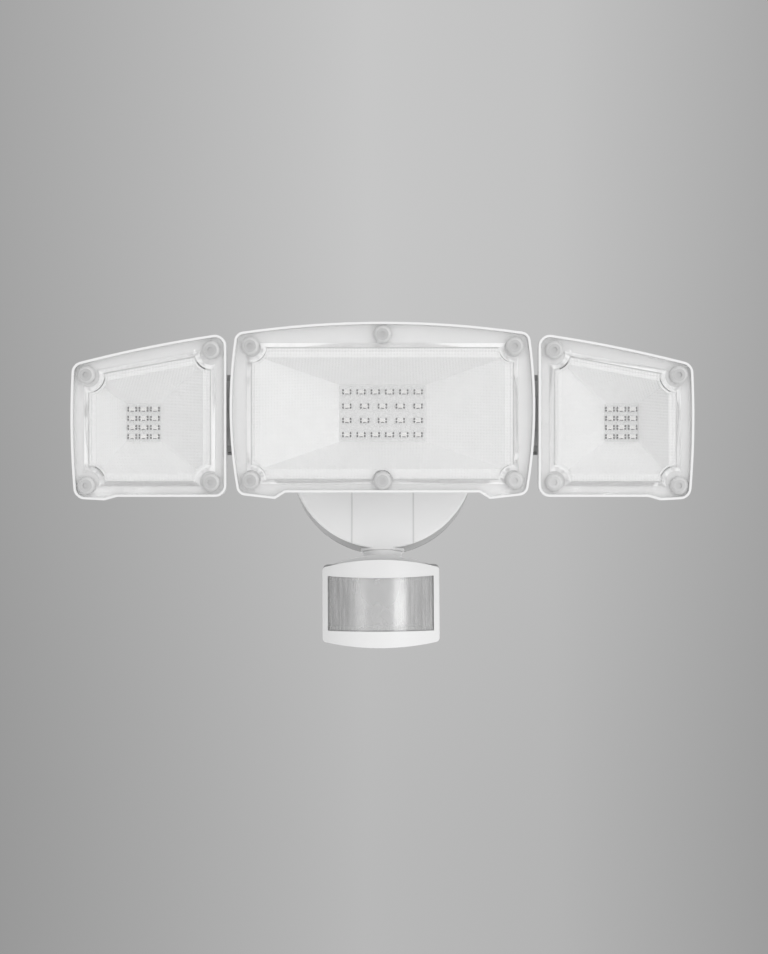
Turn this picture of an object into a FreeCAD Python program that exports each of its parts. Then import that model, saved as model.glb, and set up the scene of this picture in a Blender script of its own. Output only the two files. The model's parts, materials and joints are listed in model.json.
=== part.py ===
import FreeCAD, Part
import math
import os
import re
import Sketcher
from FreeCAD import Placement, Rotation, Vector

# Wall-mounted security light with three LED heads and a motion sensor, in millimetres.
# Row frame: +X right, -Y out of the wall, +Z up, origin at the middle of the canopy's back.
# Each moulding is drawn in its own frame: X right, Y up, Z out of its front.

SIZES = {
    # canopy
    "canopy_radius": 57.0,
    "canopy_depth": 28.0,
    "canopy_wall": 2.2,
    "canopy_edge_round": 1.2,
    "canopy_screw_play": 0.2,
    "groove_spread": 18.9,
    "groove_width": 1.0,
    "groove_depth": 0.6,
    "gasket_ring_width": 3.4,
    "gasket_ring_thick": 1.2,
    # strip on the junction box
    "bracket_length": 104.0,
    "bracket_width": 20.0,
    "bracket_thick": 1.5,
    "bracket_round": 4.0,
    "box_screw_spacing": 88.9,
    "slot_length": 10.0,
    "slot_width": 4.8,
    "canopy_screw_spread": 33.0,
    "canopy_screw_radius": 2.0,
    "canopy_head_radius": 4.0,
    "canopy_head_height": 2.2,
    "screw_recess": 2.0,
    "ground_screw_spread": 16.0,
    "ground_screw_head": 3.9,
    "ground_screw_head_height": 2.4,
    "wire_hole_radius": 6.0,
    # supply block
    "driver_length": 56.0,
    "driver_width": 24.0,
    "driver_depth": 15.0,
    "driver_height": 32.5,
    "driver_round": 3.0,
    # arm that carries the heads
    "axis_height": 10.4,
    "axis_reach": 50.2,
    "arm_foot_radius": 17.0,
    "arm_foot_thick": 3.0,
    "arm_foot_round": 1.2,
    "arm_lug_width": 16.0,
    "arm_lug_radius": 9.0,
    "arm_root_half": 12.5,
    "arm_screw_spread": 11.5,
    "arm_screw_radius": 1.5,
    "arm_screw_bite": 2.5,
    "arm_screw_head": 3.0,
    "arm_screw_head_height": 1.6,
    "arm_screw_play": 0.1,
    "tilt_bolt_radius": 4.0,
    "tilt_bolt_head": 7.0,
    "tilt_bolt_head_thick": 5.0,
    "bolt_tail": 2.0,
    # centre head: rim
    "rest_tilt": 10.0,
    "head_reach": 60.0,
    "head_rise": 10.6,
    "center_top_half": 83.8,
    "center_top_edge": 45.2,
    "center_top_bow": 563.0,
    "center_side_bow": 274.0,
    "center_foot_half": 82.5,
    "center_foot_edge": 47.2,
    "center_step_outer": 61.3,
    "center_step_low": 49.6,
    "center_step_inner": 55.3,
    "center_flat_low": 45.9,
    "center_corner_round": 5.6,
    # centre head: raised panel, light box and screws
    "center_panel_half": 75.0,
    "center_panel_top": 36.9,
    "center_panel_low": 38.5,
    "center_facet_half": 70.0,
    "center_facet_top": 31.3,
    "center_facet_low": 32.5,
    "center_screw_spread": 75.5,
    "center_screw_top": 37.6,
    "center_screw_low": 39.1,
    "center_mid_screw_top": 44.3,
    "center_mid_screw_low": 39.3,
    "mid_scoop_radius": 5.7,
    "center_scoop_radius": 8.0,
    "center_corner_band": 1.6,
    "center_window_half": 25.3,
    "center_window_rise": 16.6,
    "center_led_pitch": 8.3,
    "center_led_wide_pitch": 10.35,
    "center_led_length": 4.6,
    "center_led_width": 2.7,
    # side heads: rim
    "head_gap": 1.9,
    "side_inner": 89.0,
    "side_inner_top": 45.0,
    "side_outer_top_x": 176.9,
    "side_outer_top": 27.4,
    "side_outer_low_x": 175.6,
    "side_outer_low": 49.5,
    "side_outer_bow": 495.0,
    "side_top_bow": 756.0,
    "side_step_outer": 158.6,
    "side_step_low": 50.4,
    "side_step_inner": 151.7,
    "side_flat_low": 48.4,
    "side_corner_round": 6.5,
    # side heads: raised panel, light box and screws
    "side_panel_inner": 98.2,
    "side_panel_outer": 167.9,
    "side_panel_inner_top": 33.3,
    "side_panel_outer_top": 20.5,
    "side_panel_low": 39.8,
    "side_scoop_radius": 8.8,
    "side_corner_band": 2.0,
    "side_screw_inner": 97.9,
    "side_screw_inner_top": 35.3,
    "side_screw_inner_low": 40.2,
    "side_screw_outer": 169.0,
    "side_screw_outer_top": 21.1,
    "side_screw_outer_low": 42.0,
    "side_facet_margin": 4.3,
    "side_window_x": 135.6,
    "side_window_y": -5.6,
    "side_window_half": 9.85,
    "side_window_rise": 11.05,
    "side_led_pitch_x": 6.6,
    "side_led_pitch_y": 5.3,
    "side_led_length": 4.8,
    "side_led_width": 2.6,
    # what the three heads share
    "lip_width": 1.2,
    "lip_height": 0.8,
    "cover_play": 0.15,
    "flange_thick": 2.2,
    "panel_rise": 2.4,
    "panel_wall": 2.0,
    "panel_edge": 0.8,
    "flange_hole_play": 0.2,
    "gasket_thick": 1.0,
    "gasket_inset": 0.3,
    "gasket_outset": 2.6,
    "rim_depth": 8.0,
    "rim_back_round": 1.5,
    "mouth_inset": 3.2,
    "pan_wall": 3.0,
    "pan_slope": 3.0,
    "window_depth": 20.0,
    "reflector_thick": 0.9,
    "reflector_inset": 0.4,
    "corner_play": 0.7,
    "board_thick": 1.6,
    "board_margin": 8.0,
    "board_round": 2.0,
    "board_hole_radius": 1.5,
    "board_hole_margin": 4.5,
    "led_height": 0.8,
    "back_thick": 2.2,
    "fin_height": 14.0,
    "fin_thick": 1.8,
    "fin_pitch": 7.0,
    "fin_slope": 6.0,
    "fin_root": 0.4,
    "fin_side_margin": 7.5,
    "fin_end_margin": 5.0,
    "cover_screw_radius": 1.7,
    "cover_screw_head": 3.5,
    "cover_screw_head_height": 1.7,
    "cover_screw_length": 12.0,
    "boss_radius": 4.2,
    "boss_depth": 14.5,
    "boss_floor": 1.0,
    "screw_play": 0.05,
    # tilt fork behind the centre head
    "fork_wall": 6.0,
    "fork_end_radius": 10.0,
    "fork_root_top": 22.0,
    "fork_root_low": 21.0,
    "fork_play": 0.15,
    "fork_floor": 6.0,
    "fork_root_sink": 0.5,
    # swing hinges
    "hinge_depth": 24.0,
    "hinge_radius": 6.5,
    "hinge_half_height": 18.8,
    "hinge_lug_half": 9.6,
    "hinge_play": 0.2,
    "hinge_root_reach": 3.0,
    "swing_bolt_radius": 3.0,
    "swing_head_radius": 5.5,
    "swing_head_thick": 3.5,
    # sensor stem
    "stem_depth": 16.0,
    "stem_radius": 12.0,
    "shank_radius": 6.45,
    "shank_play": 0.05,
    "seat_radius": 13.5,
    "seat_drop": 57.6,
    "seat_thick": 7.6,
    "stem_flange_thick": 3.2,
    "stem_tail": 2.0,
    "stem_play": 0.2,
    "stem_nut_radius": 9.4,
    "stem_nut_thick": 4.0,
    "sensor_axis_drop": 72.0,
    "stem_barrel_radius": 9.8,
    # sensor head
    "sensor_turn": 2.5,
    "sensor_tilt": 7.0,
    "sensor_half": 35.2,
    "sensor_shoulder": 6.8,
    "sensor_crown_half": 29.0,
    "sensor_crown_bow": 76.6,
    "sensor_low": 39.0,
    "sensor_low_bow": 155.0,
    "sensor_front": 22.0,
    "sensor_back": 6.0,
    "sensor_back_half": 16.0,
    "sensor_back_shoulder": 3.0,
    "sensor_back_crown_half": 11.0,
    "sensor_back_low": 36.5,
    "sensor_round": 3.0,
    "heel_top": 13.0,
    "heel_low": 45.0,
    "heel_rise": 10.0,
    "notch_half": 12.6,
    "notch_front": 14.2,
    "barrel_play": 0.3,
    "cavity_half": 21.0,
    "cavity_top": 14.0,
    "cavity_low": 36.9,
    "cavity_front": 2.0,
    "sensor_bolt_radius": 2.5,
    "sensor_bolt_half": 16.4,
    "sensor_bolt_head": 4.3,
    "sensor_bolt_head_thick": 2.6,
    "sensor_sink_play": 0.4,
    # sensor bezel and lens
    "bezel_half": 35.2,
    "bezel_top": 4.8,
    "bezel_low": 39.5,
    "bezel_top_bow": 137.0,
    "bezel_low_bow": 170.0,
    "bezel_curve": 75.0,
    "bezel_reach": 34.0,
    "bezel_round": 2.5,
    "lens_half": 31.9,
    "lens_rise": 16.4,
    "lens_drop": 16.6,
    "lens_top_sag": 1.3,
    "lens_low_sag": 0.4,
    "lens_sink": 0.8,
    "lens_thick": 1.2,
    "lens_play": 0.1,
    "lens_flange": 1.8,
    "lens_flange_thick": 1.3,
    # sensor works
    "sensor_board_half": 20.0,
    "sensor_board_rise": 10.5,
    "sensor_board_depth": 3.5,
    "sensor_board_drop": 25.7,
    "detector_radius": 4.6,
    "detector_height": 4.2,
    "detector_drop": 20.2,
    "detector_rim": 0.6,
    "detector_rim_thick": 0.8,
    "sensor_board_round": 1.5,
    "post_radius": 2.5,
    "post_spread": 16.0,
    "dial_spread": 11.5,
    "dial_depth": 8.5,
    "dial_radius": 4.2,
    "dial_height": 2.6,
    "dial_slot_width": 1.0,
    "dial_slot_depth": 1.6,
    "dial_shaft_radius": 2.0,
    "dial_shaft_length": 7.0,
    "dial_recess_half": 17.0,
    "dial_recess_width": 5.5,
    "dial_recess_drop": 38.9,
    "dial_recess_depth": 10.0,
}

# how far a cut runs past the faces that it opens, and a root into what it grows from
OVER = 2

doc = FreeCAD.newDocument("SecurityLight")
sheet = doc.addObject("Spreadsheet::Sheet", "Sizes")
for row, (alias, number) in enumerate(SIZES.items(), start=1):
    sheet.set(f"A{row}", alias)
    sheet.set(f"B{row}", str(number))
    sheet.setAlias(f"B{row}", alias)
doc.recompute()

finished = []


# ---------------------------------------------------------------- sizes and places

def named(formula):
    """A formula in which each alias is pointed at the sheet."""
    def pointed(word):
        return f"Sizes.{word[0]}" if word[0] in SIZES else word[0]
    return re.sub(r"[a-z][a-z0-9_]*", pointed, str(formula))


def value(formula):
    """The number that a formula of aliases gives."""
    return float(sheet.evalExpression(named(formula)))


def bind(item, **formulas):
    """Ties properties of a document object to the sheet."""
    for name, formula in formulas.items():
        item.setExpression(name, named(formula))


def keep(item, label, place=None):
    """Makes an object one of the light's sub-parts and puts it in its place."""
    item.Label = label
    if place is not None:
        item.Placement = place
    finished.append(item)
    return item


UPRIGHT = Rotation(Vector(1, 0, 0), 90)
ALONG_X = Rotation(Vector(0, 1, 0), 90)
ALONG_Y = Rotation(Vector(1, 0, 0), -90)
WALL = Placement(Vector(0, 0, 0), UPRIGHT)


def head_place():
    """Frame of the heads' fronts, tilted about the arm's bolt."""
    axis = Vector(0, -value("axis_reach"), value("axis_height"))
    turned = Placement(axis, Rotation(Vector(1, 0, 0), 90 + value("rest_tilt")))
    return turned * Placement(Vector(0, value("head_rise"), value("head_reach")), Rotation())


def stem_turn():
    """Turn of the stem and the sensor at rest, about the upright."""
    return Rotation(Vector(0, 0, 1), -value("sensor_turn"))


def stem_place():
    """The wall's frame, turned about the stem."""
    stem = Vector(0, -value("stem_depth"), 0)
    return Placement(Vector(0, 0, 0), stem_turn(), stem) * WALL


def sensor_place():
    """Frame of the sensor head, turned with its stem and tilted about its own bolt."""
    axis = Vector(0, -value("stem_depth"), -value("sensor_axis_drop"))
    tilted = Rotation(Vector(1, 0, 0), 90 + value("sensor_tilt"))
    return Placement(axis, stem_turn() * tilted)


# ---------------------------------------------------------------- drawing tools

def new_body(label):
    return doc.addObject("PartDesign::Body", label)


def new_sketch(body, plane="XY", level="0"):
    """An empty sketch on one of the body's own planes, lifted by a level."""
    sketch = body.newObject("Sketcher::SketchObject", "Sketch")
    support = next(item for item in body.Origin.OriginFeatures if item.Role == plane + "_Plane")
    sketch.AttachmentSupport = [(support, "")]
    sketch.MapMode = "FlatFace"
    sketch.setExpression("AttachmentOffset.Base.z", named(level))
    return sketch


def dimension(sketch, kind, index, point, formula):
    """A distance from the sketch's origin to a point, driven by the sheet."""
    rule = Sketcher.Constraint(kind, -1, 1, index, point, value(formula))
    number = sketch.addConstraint(rule)
    sketch.setExpression(f"Constraints[{number}]", named(formula))


def rectangles(body, spans, plane="XY", level="0"):
    """A sketch of rectangles, each given by its left, right, low and high sides."""
    sketch = new_sketch(body, plane, level)
    for left, right, low, high in spans:
        corners = [(left, low), (right, low), (right, high), (left, high)]
        points = [Vector(value(x), value(y), 0) for x, y in corners]
        first = sketch.GeometryCount
        for side in range(4):
            sketch.addGeometry(Part.LineSegment(points[side], points[(side + 1) % 4]), False)
        for side in range(4):
            following = first + (side + 1) % 4
            sketch.addConstraint(Sketcher.Constraint("Coincident", first + side, 2, following, 1))
            direction = "Horizontal" if side % 2 == 0 else "Vertical"
            sketch.addConstraint(Sketcher.Constraint(direction, first + side))
        dimension(sketch, "DistanceX", first, 1, left)
        dimension(sketch, "DistanceY", first, 1, low)
        dimension(sketch, "DistanceX", first + 2, 1, right)
        dimension(sketch, "DistanceY", first + 2, 1, high)
    return sketch


def circles(body, radius, centres, plane="XY", level="0"):
    """A sketch of equal circles."""
    sketch = new_sketch(body, plane, level)
    for x, y in centres:
        centre = Vector(value(x), value(y), 0)
        index = sketch.addGeometry(Part.Circle(centre, Vector(0, 0, 1), value(radius)), False)
        dimension(sketch, "DistanceX", index, 3, x)
        dimension(sketch, "DistanceY", index, 3, y)
        number = sketch.addConstraint(Sketcher.Constraint("Radius", index, value(radius)))
        sketch.setExpression(f"Constraints[{number}]", named(radius))
    return sketch


def outline(body, sides, plane="XY", level="0"):
    """A closed sketch of sides, each a start, an end and a point on its arc or None."""
    sketch = new_sketch(body, plane, level)
    starts = []
    for start, end, middle in sides:
        edge = Part.Arc(start, middle, end) if middle else Part.LineSegment(start, end)
        index = sketch.addGeometry(edge, False)
        starts.append(1 if (sketch.getPoint(index, 1) - start).Length < 1e-4 else 2)
    for index, first in enumerate(starts):
        following = (index + 1) % len(starts)
        rule = Sketcher.Constraint("Coincident", index, 3 - first, following, starts[following])
        sketch.addConstraint(rule)
    return sketch


def pad(body, sketch, length, back=False, middle=False):
    return extrusion(body, "PartDesign::Pad", sketch, length, back, middle)


def pocket(body, sketch, length, back=False, middle=False):
    """A pocket must take something away, so its volume is compared."""
    before = body.Shape.Volume
    feature = extrusion(body, "PartDesign::Pocket", sketch, length, back, middle)
    if body.Shape.Volume > before - 1e-3:
        raise RuntimeError(f"{body.Label}: a pocket cuts nothing")
    return feature


def extrusion(body, kind, sketch, length, back, middle):
    feature = body.newObject(kind, kind.split("::")[1])
    feature.Profile = sketch
    feature.Reversed = back
    feature.Midplane = middle
    feature.setExpression("Length", named(length))
    doc.recompute()
    return feature


def loft(body, first, second, cut=False):
    """Straight sides between two sketches of the same kind."""
    kind = "PartDesign::SubtractiveLoft" if cut else "PartDesign::AdditiveLoft"
    feature = body.newObject(kind, "Loft")
    feature.Profile = first
    feature.Sections = [second]
    feature.Ruled = True
    doc.recompute()
    return feature


def round_edges(body, radius, chosen, kind="PartDesign::Fillet"):
    """Rounds the edges of the body's tip that a test chooses."""
    tip = body.Tip
    edges = tip.Shape.Edges
    names = [f"Edge{number}" for number, edge in enumerate(edges, start=1) if chosen(edge)]
    if not names:
        raise RuntimeError(f"{body.Label}: no edge to round")
    feature = body.newObject(kind, kind.split("::")[1])
    feature.Base = (tip, names)
    feature.setExpression("Radius" if kind.endswith("Fillet") else "Size", named(radius))
    doc.recompute()
    return feature


def runs_along(edge, axis):
    """Whether an edge is a straight line along an axis."""
    if edge.Curve.TypeId != "Part::GeomLine":
        return False
    return abs(abs(edge.tangentAt(edge.FirstParameter).dot(axis)) - 1) < 1e-4


def lies_at(edge, level):
    """Whether an edge lies wholly at one height above its frame's origin."""
    box = edge.BoundBox
    return abs(box.ZMin - level) < 1e-4 and abs(box.ZMax - level) < 1e-4


def rod(radius, length, base, turn=None):
    """A cylinder that starts at a base point, along Z or along a turned axis."""
    item = doc.addObject("Part::Cylinder", "Rod")
    bind(item, Radius=radius, Height=length)
    place_primitive(item, base, turn)
    return item


def block(length, width, height, base):
    """A box whose middle stands on a base point."""
    item = doc.addObject("Part::Box", "Block")
    bind(item, Length=length, Width=width, Height=height)
    x, y, z = base
    place_primitive(item, (f"{x} - ({length}) / 2", f"{y} - ({width}) / 2", z), None)
    return item


def hexagon(radius, length, base, turn=None):
    """A hexagonal prism that starts at a base point."""
    item = doc.addObject("Part::Prism", "Hexagon")
    item.Polygon = 6
    bind(item, Circumradius=radius, Height=length)
    place_primitive(item, base, turn)
    return item


def place_primitive(item, base, turn):
    item.Placement = Placement(Vector(0, 0, 0), turn or Rotation())
    for axis, formula in zip("xyz", base):
        item.setExpression(f"Placement.Base.{axis}", named(formula))


def joined(items, label="Joined"):
    item = doc.addObject("Part::MultiFuse", label)
    item.Shapes = items
    return item


def less(base, tool, label="Cut"):
    item = doc.addObject("Part::Cut", label)
    item.Base = base
    item.Tool = tool
    return item


def common(first, second, label="Common"):
    item = doc.addObject("Part::MultiCommon", label)
    item.Shapes = [first, second]
    return item


def group(items, label):
    """Identical fasteners or lamps as one sub-part of separate solids."""
    item = doc.addObject("Part::Compound", label)
    item.Links = items
    return item


def mirrored(source, label):
    """The left-hand twin of a right-hand sub-part."""
    item = doc.addObject("Part::Mirroring", label)
    item.Source = source
    item.Normal = Vector(1, 0, 0)
    item.Base = Vector(0, 0, 0)
    return keep(item, label)


# ---------------------------------------------------------------- outlines of the heads

def outward(start, end):
    """Unit vector to the right of a side, which is outside on a loop that runs left-handed."""
    along = (end - start).normalize()
    return Vector(along.y, -along.x, 0)


def offset_corners(corners, offset):
    """Corners with every side moved outwards, and the bows of the sides with them."""
    moved = []
    for index, (point, bow) in enumerate(corners):
        before = corners[index - 1][0]
        after = corners[(index + 1) % len(corners)][0]
        first = outward(before, point)
        second = outward(point, after)
        step = (first + second) * (offset / (1 + first.dot(second)))
        moved.append((point + step, bow + offset if bow else 0))
    return moved


def straight_sides(corners):
    """A closed polygon's sides."""
    return [(corner, corners[(index + 1) % len(corners)], None) for index, corner in enumerate(corners)]


def bowed_sides(corners):
    """Sides between corners, bulging where a corner gives its side a bow, inwards if it is negative."""
    sides = []
    for index, (start, bow) in enumerate(corners):
        end = corners[(index + 1) % len(corners)][0]
        middle = None
        if bow:
            half = (end - start).Length / 2
            rise = bow - math.copysign(math.sqrt(bow * bow - half * half), bow)
            middle = (start + end) / 2 + outward(start, end) * rise
        sides.append((start, end, middle))
    return sides


def scooped_sides(corners, offset, radius, notch):
    """A panel's outline moved by an offset, with a circle scooped out of it at each corner.

    A notch is a point and a radius, scooped out of the panel's lower side."""
    run = math.sqrt(radius * radius - offset * offset)
    ends = []
    for index, corner in enumerate(corners):
        before = corners[index - 1]
        after = corners[(index + 1) % len(corners)]
        first = outward(before, corner)
        second = outward(corner, after)
        arrive = corner + first * offset - (corner - before).normalize() * run
        leave = corner + second * offset + (after - corner).normalize() * run
        inward = (first + second).normalize() * -radius
        ends.append((arrive, leave, corner + inward))
    sides = []
    for index, (arrive, leave, middle) in enumerate(ends):
        sides.append((arrive, leave, middle))
        following = ends[(index + 1) % len(ends)][0]
        if notch and index == 0:
            sides += notched_side(leave, following, *notch)
        else:
            sides.append((leave, following, None))
    return sides


def notched_side(start, end, centre, radius):
    """A level lower side with a round notch in its middle."""
    drop = start.y - centre.y
    half = math.sqrt(radius * radius - drop * drop)
    left = Vector(centre.x - half, start.y, 0)
    right = Vector(centre.x + half, start.y, 0)
    top = Vector(centre.x, centre.y + radius, 0)
    return [(start, left, None), (left, right, top), (right, end, None)]


def center_rim():
    """Rim of the centre head, from its lower left corner round to the left side."""
    foot = (value("center_foot_half"), -value("center_foot_edge"))
    step = (value("center_step_outer"), -value("center_step_low"))
    flat = (value("center_step_inner"), -value("center_flat_low"))
    top = (value("center_top_half"), value("center_top_edge"))
    side = value("center_side_bow")
    return [
        (Vector(-foot[0], foot[1], 0), 0),
        (Vector(-step[0], step[1], 0), 0),
        (Vector(-flat[0], flat[1], 0), 0),
        (Vector(flat[0], flat[1], 0), 0),
        (Vector(step[0], step[1], 0), 0),
        (Vector(foot[0], foot[1], 0), side),
        (Vector(top[0], top[1], 0), value("center_top_bow")),
        (Vector(-top[0], top[1], 0), side),
    ]


def side_rim():
    """Rim of the right-hand head, from its lower inner corner."""
    return [
        (Vector(value("side_inner"), -value("side_flat_low"), 0), 0),
        (Vector(value("side_step_inner"), -value("side_flat_low"), 0), 0),
        (Vector(value("side_step_outer"), -value("side_step_low"), 0), 0),
        (Vector(value("side_outer_low_x"), -value("side_outer_low"), 0), value("side_outer_bow")),
        (Vector(value("side_outer_top_x"), value("side_outer_top"), 0), value("side_top_bow")),
        (Vector(value("side_inner"), value("side_inner_top"), 0), 0),
    ]


def center_panel():
    half = "center_panel_half"
    return [(f"-{half}", "-center_panel_low"), (half, "-center_panel_low"),
            (half, "center_panel_top"), (f"-{half}", "center_panel_top")]


def side_panel():
    return [("side_panel_inner", "-side_panel_low"), ("side_panel_outer", "-side_panel_low"),
            ("side_panel_outer", "side_panel_outer_top"), ("side_panel_inner", "side_panel_inner_top")]


def points(pairs):
    """Points of a sketch from pairs of formulas."""
    return [Vector(value(x), value(y), 0) for x, y in pairs]


def shrunk(corners, inset):
    """A plain polygon with its sides moved inwards."""
    moved = offset_corners([(point, 0) for point in corners], -inset)
    return straight_sides([point for point, bow in moved])


def center_screws():
    spread = "center_screw_spread"
    return [
        (spread, "center_screw_top"),
        (f"-{spread}", "center_screw_top"),
        (spread, "-center_screw_low"),
        (f"-{spread}", "-center_screw_low"),
        ("0 * center_screw_spread", "center_mid_screw_top"),
        ("0 * center_screw_spread", "-center_mid_screw_low"),
    ]


def side_screws():
    return [
        ("side_screw_inner", "side_screw_inner_top"),
        ("side_screw_outer", "side_screw_outer_top"),
        ("side_screw_outer", "-side_screw_outer_low"),
        ("side_screw_inner", "-side_screw_inner_low"),
    ]


class Head:
    """What differs between the centre head and the right-hand head."""

    def __init__(self, name, rim, corners, notched, screws, window, facets):
        self.name = name
        self.rim = rim
        self.corners = corners
        self.panel = points(corners)
        self.notched = notched
        self.screws = screws
        self.window = window
        self.facets = facets

    def size(self, word):
        """Alias of a size that the centre head and the side heads have apart."""
        return ("center_" if self.name == "center" else "side_") + word

    def panel_sides(self, offset, growth=None):
        """The raised panel's outline moved by an offset.

        Its scoops keep their distance from the sides, or grow by an amount of their own."""
        growth = -offset if growth is None else growth
        notch = None
        if self.notched:
            centre = Vector(0, -value("center_mid_screw_low"), 0)
            notch = (centre, value("mid_scoop_radius") + growth)
        return scooped_sides(self.panel, offset, value(self.size("scoop_radius")) + growth, notch)


def center_head():
    window = ("-center_window_half", "center_window_half", "-center_window_rise", "center_window_rise")
    half = "center_facet_half"
    facets = points([(f"-{half}", "-center_facet_low"), (half, "-center_facet_low"),
                     (half, "center_facet_top"), (f"-{half}", "center_facet_top")])
    return Head("center", center_rim(), center_panel(), True, center_screws(), window, facets)


def side_head():
    window = (
        "side_window_x - side_window_half",
        "side_window_x + side_window_half",
        "side_window_y - side_window_rise",
        "side_window_y + side_window_rise",
    )
    sides = shrunk(points(side_panel()), value("side_facet_margin"))
    facets = [start for start, end, middle in sides]
    return Head("right", side_rim(), side_panel(), False, side_screws(), window, facets)


# ---------------------------------------------------------------- pieces of a head

SEAT = "(lip_height + flange_thick + gasket_thick)"
FLOOR = "(window_depth + board_thick)"
BACK = "(window_depth + board_thick + back_thick)"


def corner_edges(corners, reach):
    """Test that chooses the upright edges of a loft's or pad's outer corners."""
    def chosen(edge):
        if not runs_along(edge, Vector(0, 0, 1)):
            return False
        middle = edge.CenterOfMass
        return any(math.hypot(middle.x - point.x, middle.y - point.y) < reach for point in corners)
    return chosen


def sharp_corners(corners):
    """The corners where a loop turns sharply, which a moulding rounds."""
    sharp = []
    for index, (point, bow) in enumerate(corners):
        before = corners[index - 1][0]
        after = corners[(index + 1) % len(corners)][0]
        if outward(before, point).dot(outward(point, after)) < 0.5:
            sharp.append(point)
    return sharp


def rim_plate(body, head, offset, level, thickness):
    """A plate of the head's outline with rounded corners."""
    corners = offset_corners(head.rim, offset)
    pad(body, outline(body, bowed_sides(corners), level=level), thickness)
    near = corner_edges(sharp_corners(corners), 1.0)
    round_edges(body, f"{head.size('corner_round')} + ({offset})", near)


def light_pan(body, head):
    """The tapering box behind the rim, with its back plate."""
    inset = value("mouth_inset - pan_wall")
    front = outline(body, shrunk(head.panel, inset), level=f"-{SEAT}")
    rear = outline(body, shrunk(head.panel, inset + value("pan_slope")), level=f"-{BACK}")
    loft(body, front, rear)


def cavity(body, head):
    """Hollow for the reflector and its board, open to the front, with a post at each screw."""
    inset = value("mouth_inset")
    slope = value("pan_slope")
    mouth = outline(body, head.panel_sides(-inset, 0.0), level=f"-{SEAT}")
    floor = outline(body, head.panel_sides(-inset - slope, slope), level=f"-{FLOOR}")
    loft(body, mouth, floor, cut=True)


def cooling_fins(body, left, right, low, high):
    """Upright fins behind the back plate, one drawn and the rest patterned."""
    level = f"{left} + fin_thick / 2"
    root = f"-{BACK} + fin_root"
    tip = f"-{BACK} - fin_height"
    shape = [(low, root), (high, root), (f"{high} - fin_slope", tip), (f"{low} + fin_slope", tip)]
    drawn = outline(body, straight_sides(points(shape)), plane="YZ", level=level)
    fin = pad(body, drawn, "fin_thick", middle=True)
    span = value(f"{right} - ({left}) - fin_thick")
    count = int(span // value("fin_pitch")) + 1
    rows = body.newObject("PartDesign::LinearPattern", "Fins")
    rows.Originals = [fin]
    rows.Direction = (fin.Profile[0], ["N_Axis"])
    rows.Occurrences = count
    rows.setExpression("Length", named(f"fin_pitch * {count - 1}"))
    body.Tip = rows
    doc.recompute()


def housing(head, label):
    """Moulded housing: rim with its lip, seat, screw bosses, light box and fins."""
    body = new_body(label)
    rim_plate(body, head, 0.0, "-rim_depth", "rim_depth")
    back = -value("rim_depth")
    round_edges(body, "rim_back_round", lambda edge: lies_at(edge, back))
    light_pan(body, head)
    left, low = head.corners[0]
    right, high = head.corners[2]
    cooling_fins(body, f"{left} + fin_side_margin", f"{right} - fin_side_margin",
                 f"{low} + fin_end_margin", f"{high} - fin_end_margin")
    bosses = circles(body, "boss_radius", head.screws, level="-boss_depth")
    pad(body, bosses, f"boss_depth - {SEAT}")
    seat = offset_corners(head.rim, -value("lip_width"))
    pocket(body, outline(body, bowed_sides(seat)), SEAT)
    cavity(body, head)
    holes = circles(body, "cover_screw_radius + screw_play", head.screws, level=f"-{SEAT}")
    pocket(body, holes, f"boss_depth - {SEAT} - boss_floor")
    return body


def cover(head, label):
    """Clear cover: flange inside the rim's lip and a raised hollow panel."""
    body = new_body(label)
    inset = -(value("lip_width") + value("cover_play"))
    rim_plate(body, head, inset, "-lip_height - flange_thick", "flange_thick")
    pad(body, outline(body, head.panel_sides(0.0), level="-lip_height"), "panel_rise")
    front = value("panel_rise - lip_height")
    round_edges(body, "panel_edge", lambda edge: lies_at(edge, front), "PartDesign::Chamfer")
    hollow = head.panel_sides(-value("panel_wall"))
    under = outline(body, hollow, level="-lip_height - flange_thick")
    pocket(body, under, "flange_thick + panel_rise - panel_wall", back=True)
    holes = circles(body, "cover_screw_radius + flange_hole_play", head.screws, level="-lip_height")
    pocket(body, holes, "flange_thick")
    return body


def head_gasket(head, label):
    """Soft ring between the cover's flange and the housing's seat."""
    body = new_body(label)
    outer = outline(body, head.panel_sides(value("gasket_outset")), level=f"-{SEAT}")
    pad(body, outer, "gasket_thick")
    inner = outline(body, head.panel_sides(value("gasket_inset")), level=f"-{SEAT}")
    pocket(body, inner, "gasket_thick", back=True)
    return body


def reflector(head, label):
    """Faceted reflector: a flange on the seat and four walls that slope to the window.

    Its corners are scooped round the housing's screw posts, one wall away from them."""
    outside = new_body("Outside")
    flange = outline(outside, head.panel_sides(-value("reflector_inset")), level=f"-{SEAT}")
    pad(outside, flange, "reflector_thick")
    wall = value("reflector_thick")
    left, right, low, high = head.window
    window = (f"{left} - reflector_thick", f"{right} + reflector_thick",
              f"{low} - reflector_thick", f"{high} + reflector_thick")
    mouth = outline(outside, shrunk(head.facets, -wall), level=f"-{SEAT}")
    loft(outside, mouth, rectangles(outside, [window], level="-window_depth"))
    corner_scoops(outside, head, f"{head.size('scoop_radius')} + corner_play")
    inside = new_body("Inside")
    top = outline(inside, shrunk(head.facets, 0.0), level=f"-{SEAT} + reflector_thick")
    loft(inside, top, rectangles(inside, [head.window], level="-window_depth"))
    corner_scoops(inside, head, f"{head.size('scoop_radius')} + {head.size('corner_band')}")
    return less(outside, inside, label)


def corner_scoops(body, head, radius):
    """Rounds taken out of a body about the panel's corners, below the cover."""
    drawn = circles(body, radius, head.corners, level=f"-{SEAT} + reflector_thick")
    pocket(body, drawn, "window_depth")


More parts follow.
